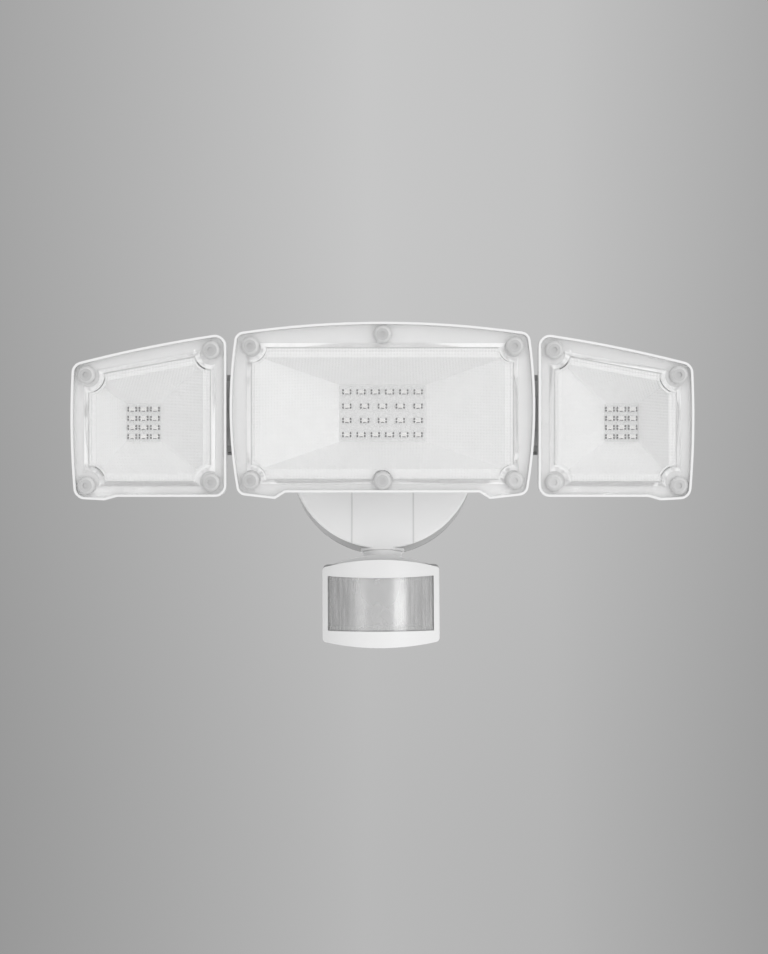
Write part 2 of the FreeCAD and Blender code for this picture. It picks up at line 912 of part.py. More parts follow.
def led_board(head, label):
    """Board under the reflector's window, held by four screws' holes."""
    left, right, low, high = head.window
    margin = "board_margin"
    span = (f"{left} - {margin}", f"{right} + {margin}", f"{low} - {margin}", f"{high} + {margin}")
    body = new_body(label)
    pad(body, rectangles(body, [span], level=f"-{FLOOR}"), "board_thick")
    round_edges(body, "board_round", lambda edge: runs_along(edge, Vector(0, 0, 1)))
    columns = (f"{left} - board_hole_margin", f"{right} + board_hole_margin")
    spots = [(x, y) for x in columns for y in (f"{low} - board_hole_margin", f"{high} + board_hole_margin")]
    pocket(body, circles(body, "board_hole_radius", spots, level="-window_depth"), "board_thick")
    return body


def leds(head, label):
    """The lamps on a board, in rows."""
    lamps = []
    if head.name == "center":
        rows = [("center_led_pitch", 6, 1.5), ("center_led_wide_pitch", 5, 0.5),
                ("center_led_wide_pitch", 5, -0.5), ("center_led_pitch", 6, -1.5)]
        size = ("center_led_length", "center_led_width")
        spots = [(f"{pitch} * {column - (count - 1) / 2}", f"center_led_pitch * {level}")
                 for pitch, count, level in rows for column in range(count)]
    else:
        size = ("side_led_length", "side_led_width")
        columns = [f"side_window_x + side_led_pitch_x * {column}" for column in (-1, 0, 1)]
        spots = [(x, f"side_window_y + side_led_pitch_y * {level}")
                 for x in columns for level in (1.5, 0.5, -0.5, -1.5)]
    for x, y in spots:
        lamps.append(block(*size, "led_height", (x, y, "-window_depth")))
    return group(lamps, label)


def cover_screws(head, label):
    """Round-headed screws with a hexagonal recess, through the cover into the bosses."""
    screws = []
    top = "-lip_height"
    for x, y in head.screws:
        shank = rod("cover_screw_radius", "cover_screw_length", (x, y, f"{top} - cover_screw_length"))
        crown = rod("cover_screw_head", "cover_screw_head_height", (x, y, top))
        depth = f"{top} + cover_screw_head_height / 2"
        recess = hexagon("cover_screw_head / 2", "screw_recess", (x, y, depth))
        screws.append(less(joined([shank, crown]), recess))
    return group(screws, label)


# ---------------------------------------------------------------- hinges of the heads

HINGE_X = "(side_inner - head_gap / 2)"


def tilt_fork(body):
    """Two ears behind the centre head that hold the arm's lug between them."""
    width = "arm_lug_width + 2 * fork_play + 2 * fork_wall"
    axis_y = -value("head_rise")
    axis_z = -value("head_reach")
    radius = value("fork_end_radius")
    root = value(f"-{BACK} + fork_root_sink")
    corners = [
        Vector(axis_y + value("fork_root_top"), root, 0),
        Vector(axis_y - value("fork_root_low"), root, 0),
        Vector(axis_y - radius, axis_z, 0),
        Vector(axis_y + radius, axis_z, 0),
    ]
    sides = straight_sides(corners)
    sides[2] = (corners[2], corners[3], Vector(axis_y, axis_z - radius, 0))
    pad(body, outline(body, sides, plane="YZ"), width, middle=True)
    gap = [(f"-head_rise - fork_root_low - {OVER}", f"-head_rise + fork_root_top + {OVER}",
            f"-head_reach - fork_end_radius - {OVER}", f"-{BACK} - fork_floor")]
    pocket(body, rectangles(body, gap, plane="YZ"), "arm_lug_width + 2 * fork_play", middle=True)
    hole = circles(body, "tilt_bolt_radius + shank_play", [("-head_rise", "-head_reach")], plane="YZ")
    pocket(body, hole, f"{width} + {OVER}", middle=True)


def hinge_tongue(body, side, root, low, high):
    """Ear or lug about a swing bolt, between two heights, with a root at a given distance."""
    level = f"-({high})"
    depth = f"({high}) - ({low})"
    pin = (f"{side} * {HINGE_X}", "-hinge_depth")
    pad(body, circles(body, "hinge_radius", [pin], plane="XZ", level=level), depth)
    reach = sorted([pin[0], f"{side} * ({root})"], key=value)
    span = [(*reach, "-hinge_depth", "-hinge_depth + hinge_radius")]
    pad(body, rectangles(body, span, plane="XZ", level=level), depth)
    hole = circles(body, "swing_bolt_radius + shank_play", [pin], plane="XZ", level=f"{level} - {OVER} / 2")
    pocket(body, hole, f"{depth} + {OVER}", back=True)


def swing_bolt(label):
    """Hexagon-headed bolt down through the right-hand hinge."""
    low = "-hinge_half_height - swing_head_thick - bolt_tail"
    length = f"hinge_half_height - ({low})"
    shank = rod("swing_bolt_radius", length, (HINGE_X, low, "-hinge_depth"), ALONG_Y)
    top = (HINGE_X, "hinge_half_height", "-hinge_depth")
    crown = hexagon("swing_head_radius", "swing_head_thick", top, ALONG_Y)
    return joined([shank, crown], label)


def swing_nut(label):
    low = (HINGE_X, "-hinge_half_height - swing_head_thick", "-hinge_depth")
    nut = hexagon("swing_head_radius", "swing_head_thick", low, ALONG_Y)
    bore = rod("swing_bolt_radius", "swing_head_thick", low, ALONG_Y)
    return less(nut, bore, label)


def tilt_bolt(label):
    """Bolt through the fork and the arm's lug, along X."""
    half = "(arm_lug_width / 2 + fork_play + fork_wall)"
    tail = f"{half} + tilt_bolt_head_thick + bolt_tail"
    base = (f"-{half}", "-head_rise", "-head_reach")
    shank = rod("tilt_bolt_radius", f"{half} + {tail}", base, ALONG_X)
    outer = (f"-{half} - tilt_bolt_head_thick", "-head_rise", "-head_reach")
    crown = hexagon("tilt_bolt_head", "tilt_bolt_head_thick", outer, ALONG_X)
    return joined([shank, crown], label)


def tilt_nut(label):
    half = "(arm_lug_width / 2 + fork_play + fork_wall)"
    base = (half, "-head_rise", "-head_reach")
    nut = hexagon("tilt_bolt_head", "tilt_bolt_head_thick", base, ALONG_X)
    bore = rod("tilt_bolt_radius", "tilt_bolt_head_thick", base, ALONG_X)
    return less(nut, bore, label)


# ---------------------------------------------------------------- the three heads

def head_pieces(head, body, place):
    """The housing and what a head of either kind holds."""
    name = head.name
    keep(body, f"{name}_housing", place)
    keep(cover(head, f"{name}_cover"), f"{name}_cover", place)
    keep(head_gasket(head, f"{name}_gasket"), f"{name}_gasket", place)
    keep(reflector(head, f"{name}_reflector"), f"{name}_reflector", place)
    keep(led_board(head, f"{name}_led_board"), f"{name}_led_board", place)
    keep(leds(head, f"{name}_leds"), f"{name}_leds", place)
    keep(cover_screws(head, f"{name}_cover_screws"), f"{name}_cover_screws", place)


def build_heads():
    place = head_place()
    center = center_head()
    center_body = housing(center, "center_housing")
    tilt_fork(center_body)
    lug = "hinge_lug_half + hinge_play"
    for side in (1, -1):
        root = "center_panel_half - hinge_root_reach"
        hinge_tongue(center_body, side, root, lug, "hinge_half_height")
        hinge_tongue(center_body, side, root, "-hinge_half_height", f"-({lug})")
    head_pieces(center, center_body, place)
    keep(tilt_bolt("tilt_bolt"), "tilt_bolt", place)
    keep(tilt_nut("tilt_nut"), "tilt_nut", place)
    keep(swing_bolt("right_swing_bolt"), "right_swing_bolt", place)
    keep(swing_nut("right_swing_nut"), "right_swing_nut", place)

    right = side_head()
    right_body = housing(right, "right_housing")
    root = "side_panel_inner + hinge_root_reach"
    hinge_tongue(right_body, 1, root, "-hinge_lug_half", "hinge_lug_half")
    head_pieces(right, right_body, place)
    for item in [item for item in finished if item.Label.startswith("right_")]:
        mirrored(item, item.Label.replace("right_", "left_"))


# ---------------------------------------------------------------- canopy

def canopy_cover(label):
    """Round cup over the junction box, grooved in front, with a seat for the sensor's stem."""
    body = new_body(label)
    pad(body, circles(body, "canopy_radius", [("0", "0")], level="gasket_ring_thick"),
        "canopy_depth - gasket_ring_thick")
    front = value("canopy_depth")
    round_edges(body, "canopy_edge_round", lambda edge: lies_at(edge, front))
    hollow = circles(body, "canopy_radius - canopy_wall", [("0", "0")], level="gasket_ring_thick")
    pocket(body, hollow, "canopy_depth - canopy_wall - gasket_ring_thick", back=True)
    grooves = [(f"{side} * groove_spread - groove_width / 2",
                f"{side} * groove_spread + groove_width / 2",
                "-canopy_radius", "canopy_radius") for side in (-1, 1)]
    pocket(body, rectangles(body, grooves, level="canopy_depth"), "groove_depth")
    seat = circles(body, "seat_radius", [("0", "stem_depth")], plane="XZ", level="seat_drop")
    pad(body, seat, "seat_thick", back=True)
    trim = [(f"-seat_radius - {OVER}", f"seat_radius + {OVER}",
             f"-seat_drop - {OVER}", f"-seat_drop + seat_thick + {OVER}")]
    pocket(body, rectangles(body, trim, level="canopy_depth"), "stem_depth + seat_radius", back=True)
    bore = circles(body, "shank_radius + shank_play", [("0", "stem_depth")], plane="XZ", level="seat_drop")
    pocket(body, bore, f"seat_thick + {OVER}")
    screws = [("canopy_screw_spread", "0"), ("-canopy_screw_spread", "0")]
    long_holes = circles(body, "canopy_screw_radius + canopy_screw_play", screws, level="canopy_depth")
    pocket(body, long_holes, "canopy_wall")
    arm = [("arm_screw_spread", "axis_height"), ("-arm_screw_spread", "axis_height")]
    short_holes = circles(body, "arm_screw_radius + arm_screw_play", arm, level="canopy_depth")
    pocket(body, short_holes, "canopy_wall")
    return body


def canopy_gasket(label):
    ring = rod("canopy_radius", "gasket_ring_thick", ("0", "0", "0"))
    hole = rod("canopy_radius - gasket_ring_width", "gasket_ring_thick", ("0", "0", "0"))
    return less(ring, hole, label)


def mounting_bracket(label):
    """Slotted strip: two slots for the box's screws, two threaded holes and a wire hole."""
    body = new_body(label)
    half = "bracket_length / 2"
    strip = [(f"-{half}", half, "-bracket_width / 2", "bracket_width / 2")]
    pad(body, rectangles(body, strip), "bracket_thick")
    round_edges(body, "bracket_round", lambda edge: runs_along(edge, Vector(0, 0, 1)))
    slots = [(f"({side} * box_screw_spacing - slot_length) / 2",
              f"({side} * box_screw_spacing + slot_length) / 2",
              "-slot_width / 2", "slot_width / 2") for side in (-1, 1)]
    pocket(body, rectangles(body, slots, level="bracket_thick"), "bracket_thick")
    round_edges(body, "slot_width / 2 - 0.01", slot_end_edges(slots))
    screws = [("canopy_screw_spread", "0"), ("-canopy_screw_spread", "0")]
    threads = circles(body, "canopy_screw_radius + screw_play", screws, level="bracket_thick")
    pocket(body, threads, "bracket_thick")
    pocket(body, circles(body, "wire_hole_radius", [("0", "0")], level="bracket_thick"), "bracket_thick")
    spot = [("ground_screw_spread", "0")]
    earth = circles(body, "arm_screw_radius + screw_play", spot, level="bracket_thick")
    pocket(body, earth, "bracket_thick")
    return body


def slot_end_edges(slots):
    """Test that chooses the upright corner edges of the slots."""
    corners = [(value(x), value(y)) for left, right, low, high in slots
               for x in (left, right) for y in (low, high)]

    def chosen(edge):
        middle = edge.CenterOfMass
        near = any(math.hypot(middle.x - x, middle.y - y) < 0.01 for x, y in corners)
        return near and runs_along(edge, Vector(0, 0, 1))
    return chosen


def canopy_screws(label):
    """Long screws through the cup's face into the strip."""
    screws = []
    for side in (1, -1):
        x = f"{side} * canopy_screw_spread"
        shank = rod("canopy_screw_radius", "canopy_depth", (x, "0", "0"))
        crown = rod("canopy_head_radius", "canopy_head_height", (x, "0", "canopy_depth"))
        depth = "canopy_depth + canopy_head_height / 2"
        recess = hexagon("canopy_head_radius / 2", "screw_recess", (x, "0", depth))
        screws.append(less(joined([shank, crown]), recess))
    return group(screws, label)


def arm_screws(label):
    """Short screws from inside the cup into the arm's foot."""
    screws = []
    inner = "canopy_depth - canopy_wall"
    for side in (1, -1):
        x = f"{side} * arm_screw_spread"
        shank = rod("arm_screw_radius", "canopy_wall + arm_screw_bite", (x, "axis_height", inner))
        under = (x, "axis_height", f"{inner} - arm_screw_head_height")
        crown = rod("arm_screw_head", "arm_screw_head_height", under)
        screws.append(joined([shank, crown]))
    return group(screws, label)


def ground_screw(label):
    x = "ground_screw_spread"
    shank = rod("arm_screw_radius", "bracket_thick", (x, "0", "0"))
    crown = hexagon("ground_screw_head", "ground_screw_head_height", (x, "0", "bracket_thick"))
    return joined([shank, crown], label)


def led_driver(label):
    """Potted supply block against the inside of the cup's face."""
    depth = "driver_depth"
    base = ("0", "driver_height", f"canopy_depth - canopy_wall - {depth}")
    case = block("driver_length", "driver_width", depth, base)
    item = doc.addObject("Part::Fillet", label)
    item.Base = case
    doc.recompute()
    upright = [number for number, edge in enumerate(case.Shape.Edges, start=1)
               if runs_along(edge, Vector(0, 0, 1))]
    radius = value("driver_round")
    item.Edges = [(number, radius, radius) for number in upright]
    return item


def tilt_arm(label):
    """Foot on the cup's face and a tapered lug that reaches to the tilt bolt."""
    body = new_body(label)
    foot = circles(body, "arm_foot_radius", [("0", "axis_height")], level="canopy_depth")
    pad(body, foot, "arm_foot_thick")
    top = value("canopy_depth + arm_foot_thick")
    round_edges(body, "arm_foot_round", lambda edge: lies_at(edge, top))
    axis_y = value("axis_height")
    axis_z = value("axis_reach")
    radius = value("arm_lug_radius")
    root = value("canopy_depth + arm_foot_thick / 2")
    corners = [
        Vector(axis_y - value("arm_root_half"), root, 0),
        Vector(axis_y + value("arm_root_half"), root, 0),
        Vector(axis_y + radius, axis_z, 0),
        Vector(axis_y - radius, axis_z, 0),
    ]
    sides = straight_sides(corners)
    sides[2] = (corners[2], corners[3], Vector(axis_y, axis_z + radius, 0))
    pad(body, outline(body, sides, plane="YZ"), "arm_lug_width", middle=True)
    bolt = circles(body, "tilt_bolt_radius + shank_play", [("axis_height", "axis_reach")], plane="YZ")
    pocket(body, bolt, f"arm_lug_width + {OVER}", middle=True)
    screws = [("arm_screw_spread", "axis_height"), ("-arm_screw_spread", "axis_height")]
    threads = circles(body, "arm_screw_radius + screw_play", screws, level="canopy_depth")
    pocket(body, threads, "arm_screw_bite", back=True)
    return body


def build_canopy():
    keep(canopy_cover("canopy_cover"), "canopy_cover", WALL)
    keep(canopy_gasket("canopy_gasket"), "canopy_gasket", WALL)
    keep(mounting_bracket("mounting_bracket"), "mounting_bracket", WALL)
    keep(canopy_screws("canopy_screws"), "canopy_screws", WALL)
    keep(ground_screw("ground_screw"), "ground_screw", WALL)
    keep(led_driver("led_driver"), "led_driver", WALL)
    keep(tilt_arm("tilt_arm"), "tilt_arm", WALL)
    keep(arm_screws("arm_screws"), "arm_screws", WALL)


# ---------------------------------------------------------------- sensor

def sensor_neck(label):
    """Swivel stem: shank through the canopy's seat, collar, and a barrel for the tilt bolt."""
    top = "(seat_drop + stem_play)"
    base = ("0", f"-{top}", "stem_depth")
    shank_length = f"{top} - seat_drop + seat_thick + stem_nut_thick + stem_tail"
    shank = rod("shank_radius", shank_length, base, ALONG_Y)
    drop = f"sensor_axis_drop - {top}"
    collar = rod("stem_radius", drop, ("0", "-sensor_axis_drop", "stem_depth"), ALONG_Y)
    half = "(notch_half - barrel_play)"
    width = f"2 * {half}"
    low = ("0", "-sensor_axis_drop", "stem_depth - stem_barrel_radius")
    waist = block(f"2 * stem_radius + {OVER}", f"2 * ({drop}) + {OVER}", "2 * stem_barrel_radius", low)
    barrel = rod("stem_barrel_radius", width, (f"-{half}", "-sensor_axis_drop", "stem_depth"), ALONG_X)
    neck = joined([common(collar, waist), barrel, shank, neck_flange(top)])
    bore = rod("sensor_bolt_radius + shank_play", f"{width} + {OVER}",
               (f"-{half} - {OVER} / 2", "-sensor_axis_drop", "stem_depth"), ALONG_X)
    return less(neck, bore, label)


def neck_flange(top):
    """Round collar that bears against the canopy's seat."""
    base = ("0", f"-{top} - stem_flange_thick", "stem_depth")
    return rod("stem_radius", "stem_flange_thick", base, ALONG_Y)


def sensor_neck_nut(label):
    """Ring nut on the shank, inside the cup."""
    base = ("0", "-seat_drop + seat_thick + stem_play", "stem_depth")
    nut = hexagon("stem_nut_radius", "stem_nut_thick", base, ALONG_Y)
    bore = rod("shank_radius", "stem_nut_thick", base, ALONG_Y)
    return less(nut, bore, label)


def arched(half, top, low, top_bow, low_bow):
    """An upright outline with straight sides and bowed top and bottom."""
    corners = [
        (Vector(-half, -low, 0), low_bow),
        (Vector(half, -low, 0), 0),
        (Vector(half, top, 0), top_bow),
        (Vector(-half, top, 0), 0),
    ]
    return bowed_sides(corners)


def crowned(half, shoulder, crown, low):
    """The shell's outline: a bowed bottom, and a crown between two level shoulders on top."""
    corners = [
        (Vector(-half, -low, 0), value("sensor_low_bow")),
        (Vector(half, -low, 0), 0),
        (Vector(half, shoulder, 0), 0),
        (Vector(crown, shoulder, 0), value("sensor_crown_bow")),
        (Vector(-crown, shoulder, 0), 0),
        (Vector(-half, shoulder, 0), 0),
    ]
    return bowed_sides(corners)


def sensor_housing(label):
    """Rear shell: tapered to the back, notched for the stem's barrel, hollow below it."""
    body = new_body(label)
    wide = crowned(value("sensor_half"), value("sensor_shoulder"), value("sensor_crown_half"),
                   value("sensor_low"))
    narrow = crowned(value("sensor_back_half"), value("sensor_back_shoulder"),
                     value("sensor_back_crown_half"), value("sensor_back_low"))
    front = outline(body, wide, level="sensor_front")
    rear = outline(body, narrow, level="-sensor_back")
    loft(body, front, rear)
    round_edges(body, "sensor_round", lambda edge: not lies_at(edge, value("sensor_front")))
    heel(body)
    room = [("-cavity_low", "-cavity_top", "cavity_front", "sensor_front")]
    pocket(body, rectangles(body, room, plane="YZ"), "2 * cavity_half", middle=True)
    barrel = circles(body, "stem_barrel_radius + barrel_play", [("0", "0")], plane="YZ")
    pocket(body, barrel, "2 * notch_half", middle=True)
    notch = [("0", "sensor_front", f"-sensor_back - {OVER}", "notch_front")]
    pocket(body, rectangles(body, notch, plane="YZ"), "2 * notch_half", middle=True)
    bolt = circles(body, "sensor_bolt_radius + shank_play", [("0", "0")], plane="YZ")
    pocket(body, bolt, "2 * sensor_half", middle=True)
    for side in (1, -1):
        level = f"{side} * sensor_bolt_half"
        radius = "sensor_bolt_head + sensor_sink_play"
        sink = circles(body, radius, [("0", "0")], plane="YZ", level=level)
        pocket(body, sink, "sensor_half", back=side > 0)
    span = [("-dial_recess_half", "dial_recess_half", "dial_depth - dial_recess_width",
             "dial_depth + dial_recess_width")]
    recess = rectangles(body, span, plane="XZ", level="dial_recess_drop")
    pocket(body, recess, "dial_recess_depth", back=True)
    shafts = [(f"{step} * dial_spread", "dial_depth") for step in (-1, 0, 1)]
    radius = "dial_shaft_radius + shank_play"
    holes = circles(body, radius, shafts, plane="XZ", level="dial_recess_drop")
    pocket(body, holes, f"dial_recess_drop - cavity_low + {OVER}")
    spots = [(f"{side} * post_spread", "-sensor_board_drop") for side in (1, -1)]
    pad(body, circles(body, "post_radius", spots, level="0"), "sensor_board_depth")
    return body


def heel(body):
    """Slopes the shell's back forward below the bolt, so that it clears the wall when tilted."""
    top = Vector(-value("heel_top"), -value("sensor_back"), 0)
    low = Vector(-value("heel_low"), value("heel_rise") - value("sensor_back"), 0)
    under = Vector(low.x, top.y - OVER, 0)
    behind = Vector(top.x, top.y - OVER, 0)
    sides = straight_sides([under, behind, top, low])
    pocket(body, outline(body, sides, plane="YZ"), "2 * sensor_half", middle=True)


def bezel_front(body, curve, reach):
    """Cuts a moulding's front to a drum about an upright axis."""
    radius = value(curve)
    front = value(reach)
    half = value("bezel_half") + OVER
    edge = front - radius + math.sqrt(radius * radius - half * half)
    before = front + OVER
    corners = [Vector(half, edge, 0), Vector(half, before, 0),
               Vector(-half, before, 0), Vector(-half, edge, 0)]
    sides = straight_sides(corners)
    sides[3] = (corners[3], corners[0], Vector(0, front, 0))
    pocket(body, outline(body, sides, plane="XZ"), "2 * (bezel_low + bezel_half)", middle=True)


def sensor_bezel(label):
    """Front frame with a bowed outline and a drum-shaped face round the lens."""
    body = new_body(label)
    shape = arched(value("bezel_half"), value("bezel_top"), value("bezel_low"),
                   value("bezel_top_bow"), value("bezel_low_bow"))
    pad(body, outline(body, shape, level="sensor_front"), "bezel_reach - sensor_front")
    round_edges(body, "bezel_round", lambda edge: runs_along(edge, Vector(0, 0, 1)))
    bezel_front(body, "bezel_curve", "bezel_reach")
    pocket(body, outline(body, window_sides(0.0), level="sensor_front"), "bezel_reach", back=True)
    rebate = outline(body, window_sides(value("lens_flange + lens_play")), level="sensor_front")
    pocket(body, rebate, "lens_flange_thick", back=True)
    return body


def window_sides(offset):
    """The lens's window moved by an offset. Its top and its bottom both sag."""
    half = value("lens_half")
    low = -value("lens_drop + lens_rise")
    high = -value("lens_drop - lens_rise")
    corners = [
        (Vector(-half, low, 0), bow_of(half, value("lens_low_sag"))),
        (Vector(half, low, 0), 0),
        (Vector(half, high, 0), -bow_of(half, value("lens_top_sag"))),
        (Vector(-half, high, 0), 0),
    ]
    return bowed_sides(offset_corners(corners, offset))


def bow_of(half, rise):
    """Radius of an arc over a half chord that rises by an amount."""
    return (half * half + rise * rise) / (2 * rise)


def sensor_lens(label):
    """Thin drum-shaped lens with a flange that the bezel clamps to the shell."""
    body = new_body(label)
    drum = outline(body, window_sides(-value("lens_play")), level="sensor_front")
    pad(body, drum, "bezel_reach - sensor_front")
    bezel_front(body, "bezel_curve - lens_sink", "bezel_reach - lens_sink")
    flange = outline(body, window_sides(value("lens_flange")), level="sensor_front")
    pad(body, flange, "lens_flange_thick")
    hollow_lens(body)
    return body


def hollow_lens(body):
    """Takes out the lens's inside, one wall behind its front."""
    wall = value("lens_thick")
    radius = value("bezel_curve - lens_sink") - wall
    front = value("bezel_reach - lens_sink") - wall
    half = value("lens_half - lens_play") - wall
    edge = front - radius + math.sqrt(radius * radius - half * half)
    root = value("sensor_front")
    corners = [Vector(-half, root, 0), Vector(half, root, 0), Vector(half, edge, 0), Vector(-half, edge, 0)]
    sides = straight_sides(corners)
    sides[2] = (corners[2], corners[3], Vector(0, front, 0))
    drawn = outline(body, sides, plane="XZ", level="lens_drop")
    pocket(body, drawn, "2 * (lens_rise - lens_play - lens_thick - lens_top_sag)", middle=True)


def sensor_board(label):
    """Circuit board on two posts inside the shell."""
    body = new_body(label)
    span = [("-sensor_board_half", "sensor_board_half", "-sensor_board_drop - sensor_board_rise",
             "-sensor_board_drop + sensor_board_rise")]
    pad(body, rectangles(body, span, level="sensor_board_depth"), "board_thick")
    round_edges(body, "sensor_board_round", lambda edge: runs_along(edge, Vector(0, 0, 1)))
    return body


def motion_detector(label):
    """Infrared detector can on the board, behind the lens."""
    base = ("0", "-detector_drop", "sensor_board_depth + board_thick")
    can = rod("detector_radius", "detector_height", base)
    rim = rod("detector_radius + detector_rim", "detector_rim_thick", base)
    return joined([can, rim], label)


def sensor_tilt_bolt(label):
    """Bolt through the shell and the stem's barrel, headed at both ends."""
    shank = rod("sensor_bolt_radius", "2 * sensor_bolt_half", ("-sensor_bolt_half", "0", "0"), ALONG_X)
    heads = [rod("sensor_bolt_head", "sensor_bolt_head_thick", (base, "0", "0"), ALONG_X)
             for base in ("sensor_bolt_half", "-sensor_bolt_half - sensor_bolt_head_thick")]
    return joined([shank, *heads], label)


def dial(label, step):
    """Small setting knob under the shell with a pointer slot."""
    top = "-dial_recess_drop - stem_play"
    x = f"{step} * dial_spread"
    knob = rod("dial_radius", "dial_height", (x, f"{top} - dial_height", "dial_depth"), ALONG_Y)
    shaft = rod("dial_shaft_radius", "dial_shaft_length", (x, top, "dial_depth"), ALONG_Y)
    mouth = (x, f"{top} - dial_height", "dial_depth - dial_radius / 2")
    slot = block("dial_slot_width", "dial_slot_depth", "1.5 * dial_radius", mouth)
    return less(joined([knob, shaft]), slot, label)


def build_sensor():
    keep(sensor_neck("sensor_neck"), "sensor_neck", stem_place())
    keep(sensor_neck_nut("sensor_neck_nut"), "sensor_neck_nut", WALL)
    place = sensor_place()
    keep(sensor_housing("sensor_housing"), "sensor_housing", place)
    keep(sensor_bezel("sensor_bezel"), "sensor_bezel", place)
    keep(sensor_lens("sensor_lens"), "sensor_lens", place)
    keep(sensor_board("sensor_board"), "sensor_board", place)
    keep(motion_detector("motion_detector"), "motion_detector", place)
    keep(sensor_tilt_bolt("sensor_tilt_bolt"), "sensor_tilt_bolt", place)
    for step, label in ((-1, "time_dial"), (0, "light_dial"), (1, "range_dial")):
        keep(dial(label, step), label, place)


# ---------------------------------------------------------------- checks and export

def check_objects():
    """Stops on an object that failed, or on a sub-part whose shape is not sound."""
    doc.recompute()
    failed = [item.Name for item in doc.Objects if "Invalid" in item.State or "Error" in item.State]
    if failed:
        raise RuntimeError(f"objects that failed: {failed}")
    for item in finished:
        if item.Shape.isNull() or not item.Shape.isValid() or not item.Shape.Solids:
            raise RuntimeError(f"{item.Label}: shape is not sound")


def export():
    os.makedirs("parts", exist_ok=True)
    for item in finished:
        item.Shape.exportStep(f"parts/{item.Label}.step")


build_heads()
build_canopy()
build_sensor()
check_objects()
export()
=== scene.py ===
import bmesh
import bpy
import json
import math
from mathutils import Matrix, Vector


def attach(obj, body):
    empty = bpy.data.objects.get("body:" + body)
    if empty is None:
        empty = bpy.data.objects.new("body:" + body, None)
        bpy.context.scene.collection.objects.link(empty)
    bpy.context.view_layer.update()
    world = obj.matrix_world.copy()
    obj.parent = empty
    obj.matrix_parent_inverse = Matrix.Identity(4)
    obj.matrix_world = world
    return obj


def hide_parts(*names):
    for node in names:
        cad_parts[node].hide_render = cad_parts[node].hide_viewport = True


# Wall light with three LED heads and a motion sensor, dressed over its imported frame.
# Places in the scene are in metres. Each fitting is drawn in millimetres in its own frame.

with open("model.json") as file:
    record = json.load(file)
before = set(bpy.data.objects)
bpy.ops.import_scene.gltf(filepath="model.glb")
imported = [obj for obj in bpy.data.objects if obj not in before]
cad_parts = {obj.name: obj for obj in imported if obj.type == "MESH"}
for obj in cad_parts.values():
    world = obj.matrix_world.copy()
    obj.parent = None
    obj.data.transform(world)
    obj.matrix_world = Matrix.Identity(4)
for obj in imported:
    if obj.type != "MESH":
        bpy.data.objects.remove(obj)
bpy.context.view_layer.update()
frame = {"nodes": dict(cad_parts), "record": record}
nodes = frame["nodes"]
record = frame["record"]
carriers = {name: body
            for body, names in record["behaviour"]["bodies"].items() for name in names}
slots = {part["node"]: part["material_slot"] for part in record["subparts"]}

MM = 0.001
UPRIGHT = math.radians(90)

# The lamp heads: their tilt at rest about the arm's bolt, and their fronts from that bolt.
ARM_BOLT = (0, -50.2, 10.4)
REST_TILT = math.radians(10)
HEAD_RISE, HEAD_REACH = 10.6, 60

# The sensor: its bolt, and its tilt and turn at rest.
SENSOR_BOLT = (0, -16, -72)
SENSOR_TILT = math.radians(7)
SENSOR_TURN = math.radians(-2.5)

# Depths behind the heads' fronts, in millimetres.
COVER_FLANGE = 0.8
SEAT = 3.1
RIM_DEPTH = 8.0
RIM_BACK_ROUND = 1.5
WINDOW_DEPTH = 20.0

# Of each head, in millimetres: its middle, how far its lamps stand further out than the
# packed ones, and the radius of its cover's scoops round the screws.
HEAD_MIDDLES = {"center": 0.0, "left": -133.5, "right": 133.5}
LEANS = {"center": 0.0, "left": -3.3, "right": 3.3}
SCOOPS = {"center": 8.0, "left": 8.8, "right": 8.8}

# Drawing: how close two points are one, how sharp an edge stays sharp, and how many points
# go round a hexagon.
WELD = 1e-6
SHARP = math.radians(32)
HEX_COUNT = 72


def moved(x, y, z):
    """A shift given in millimetres."""
    return Matrix.Translation((x * MM, y * MM, z * MM))


# The heads' fronts, and the sensor head about its bolt: X right, Y up, Z out of the front.
HEAD_FRAME = (moved(*ARM_BOLT) @ Matrix.Rotation(UPRIGHT + REST_TILT, 4, "X")
              @ moved(0, HEAD_RISE, HEAD_REACH))
SENSOR_FRAME = (moved(*SENSOR_BOLT) @ Matrix.Rotation(SENSOR_TURN, 4, "Z")
                @ Matrix.Rotation(UPRIGHT + SENSOR_TILT, 4, "X"))


# ---------------------------------------------------------------- shader sums

class Socket:
    """One output of a shader node. Sums on it add Math nodes to its recipe."""

    def __init__(self, recipe, output):
        self.recipe = recipe
        self.output = output

    def math(self, operation, *values):
        return self.recipe.node("ShaderNodeMath", {"operation": operation},
                                dict(enumerate(values)))

    def __add__(self, other):
        return self.math("ADD", self, other)

    def __radd__(self, other):
        return self.math("ADD", other, self)

    def __sub__(self, other):
        return self.math("SUBTRACT", self, other)

    def __rsub__(self, other):
        return self.math("SUBTRACT", other, self)

    def __mul__(self, other):
        return self.math("MULTIPLY", self, other)

    def __rmul__(self, other):
        return self.math("MULTIPLY", other, self)

    def wave(self):
        return self.math("SINE", self)

    def size(self):
        return self.math("ABSOLUTE", self)

    def power(self, exponent):
        return self.math("POWER", self, exponent)

    def most(self, other):
        return self.math("MAXIMUM", self, other)

    def spread(self, low, high, to_low=0.0, to_high=1.0):
        """Maps a range onto another, smoothly and within its ends."""
        return self.recipe.node(
            "ShaderNodeMapRange", {"interpolation_type": "SMOOTHSTEP"},
            {"Value": self, "From Min": low, "From Max": high, "To Min": to_low, "To Max": to_high})

    def band(self, start, full, fading, gone):
        """1 between two ends and 0 outside them, smooth at both."""
        return self.spread(start, full) * self.spread(fading, gone, 1.0, 0.0)


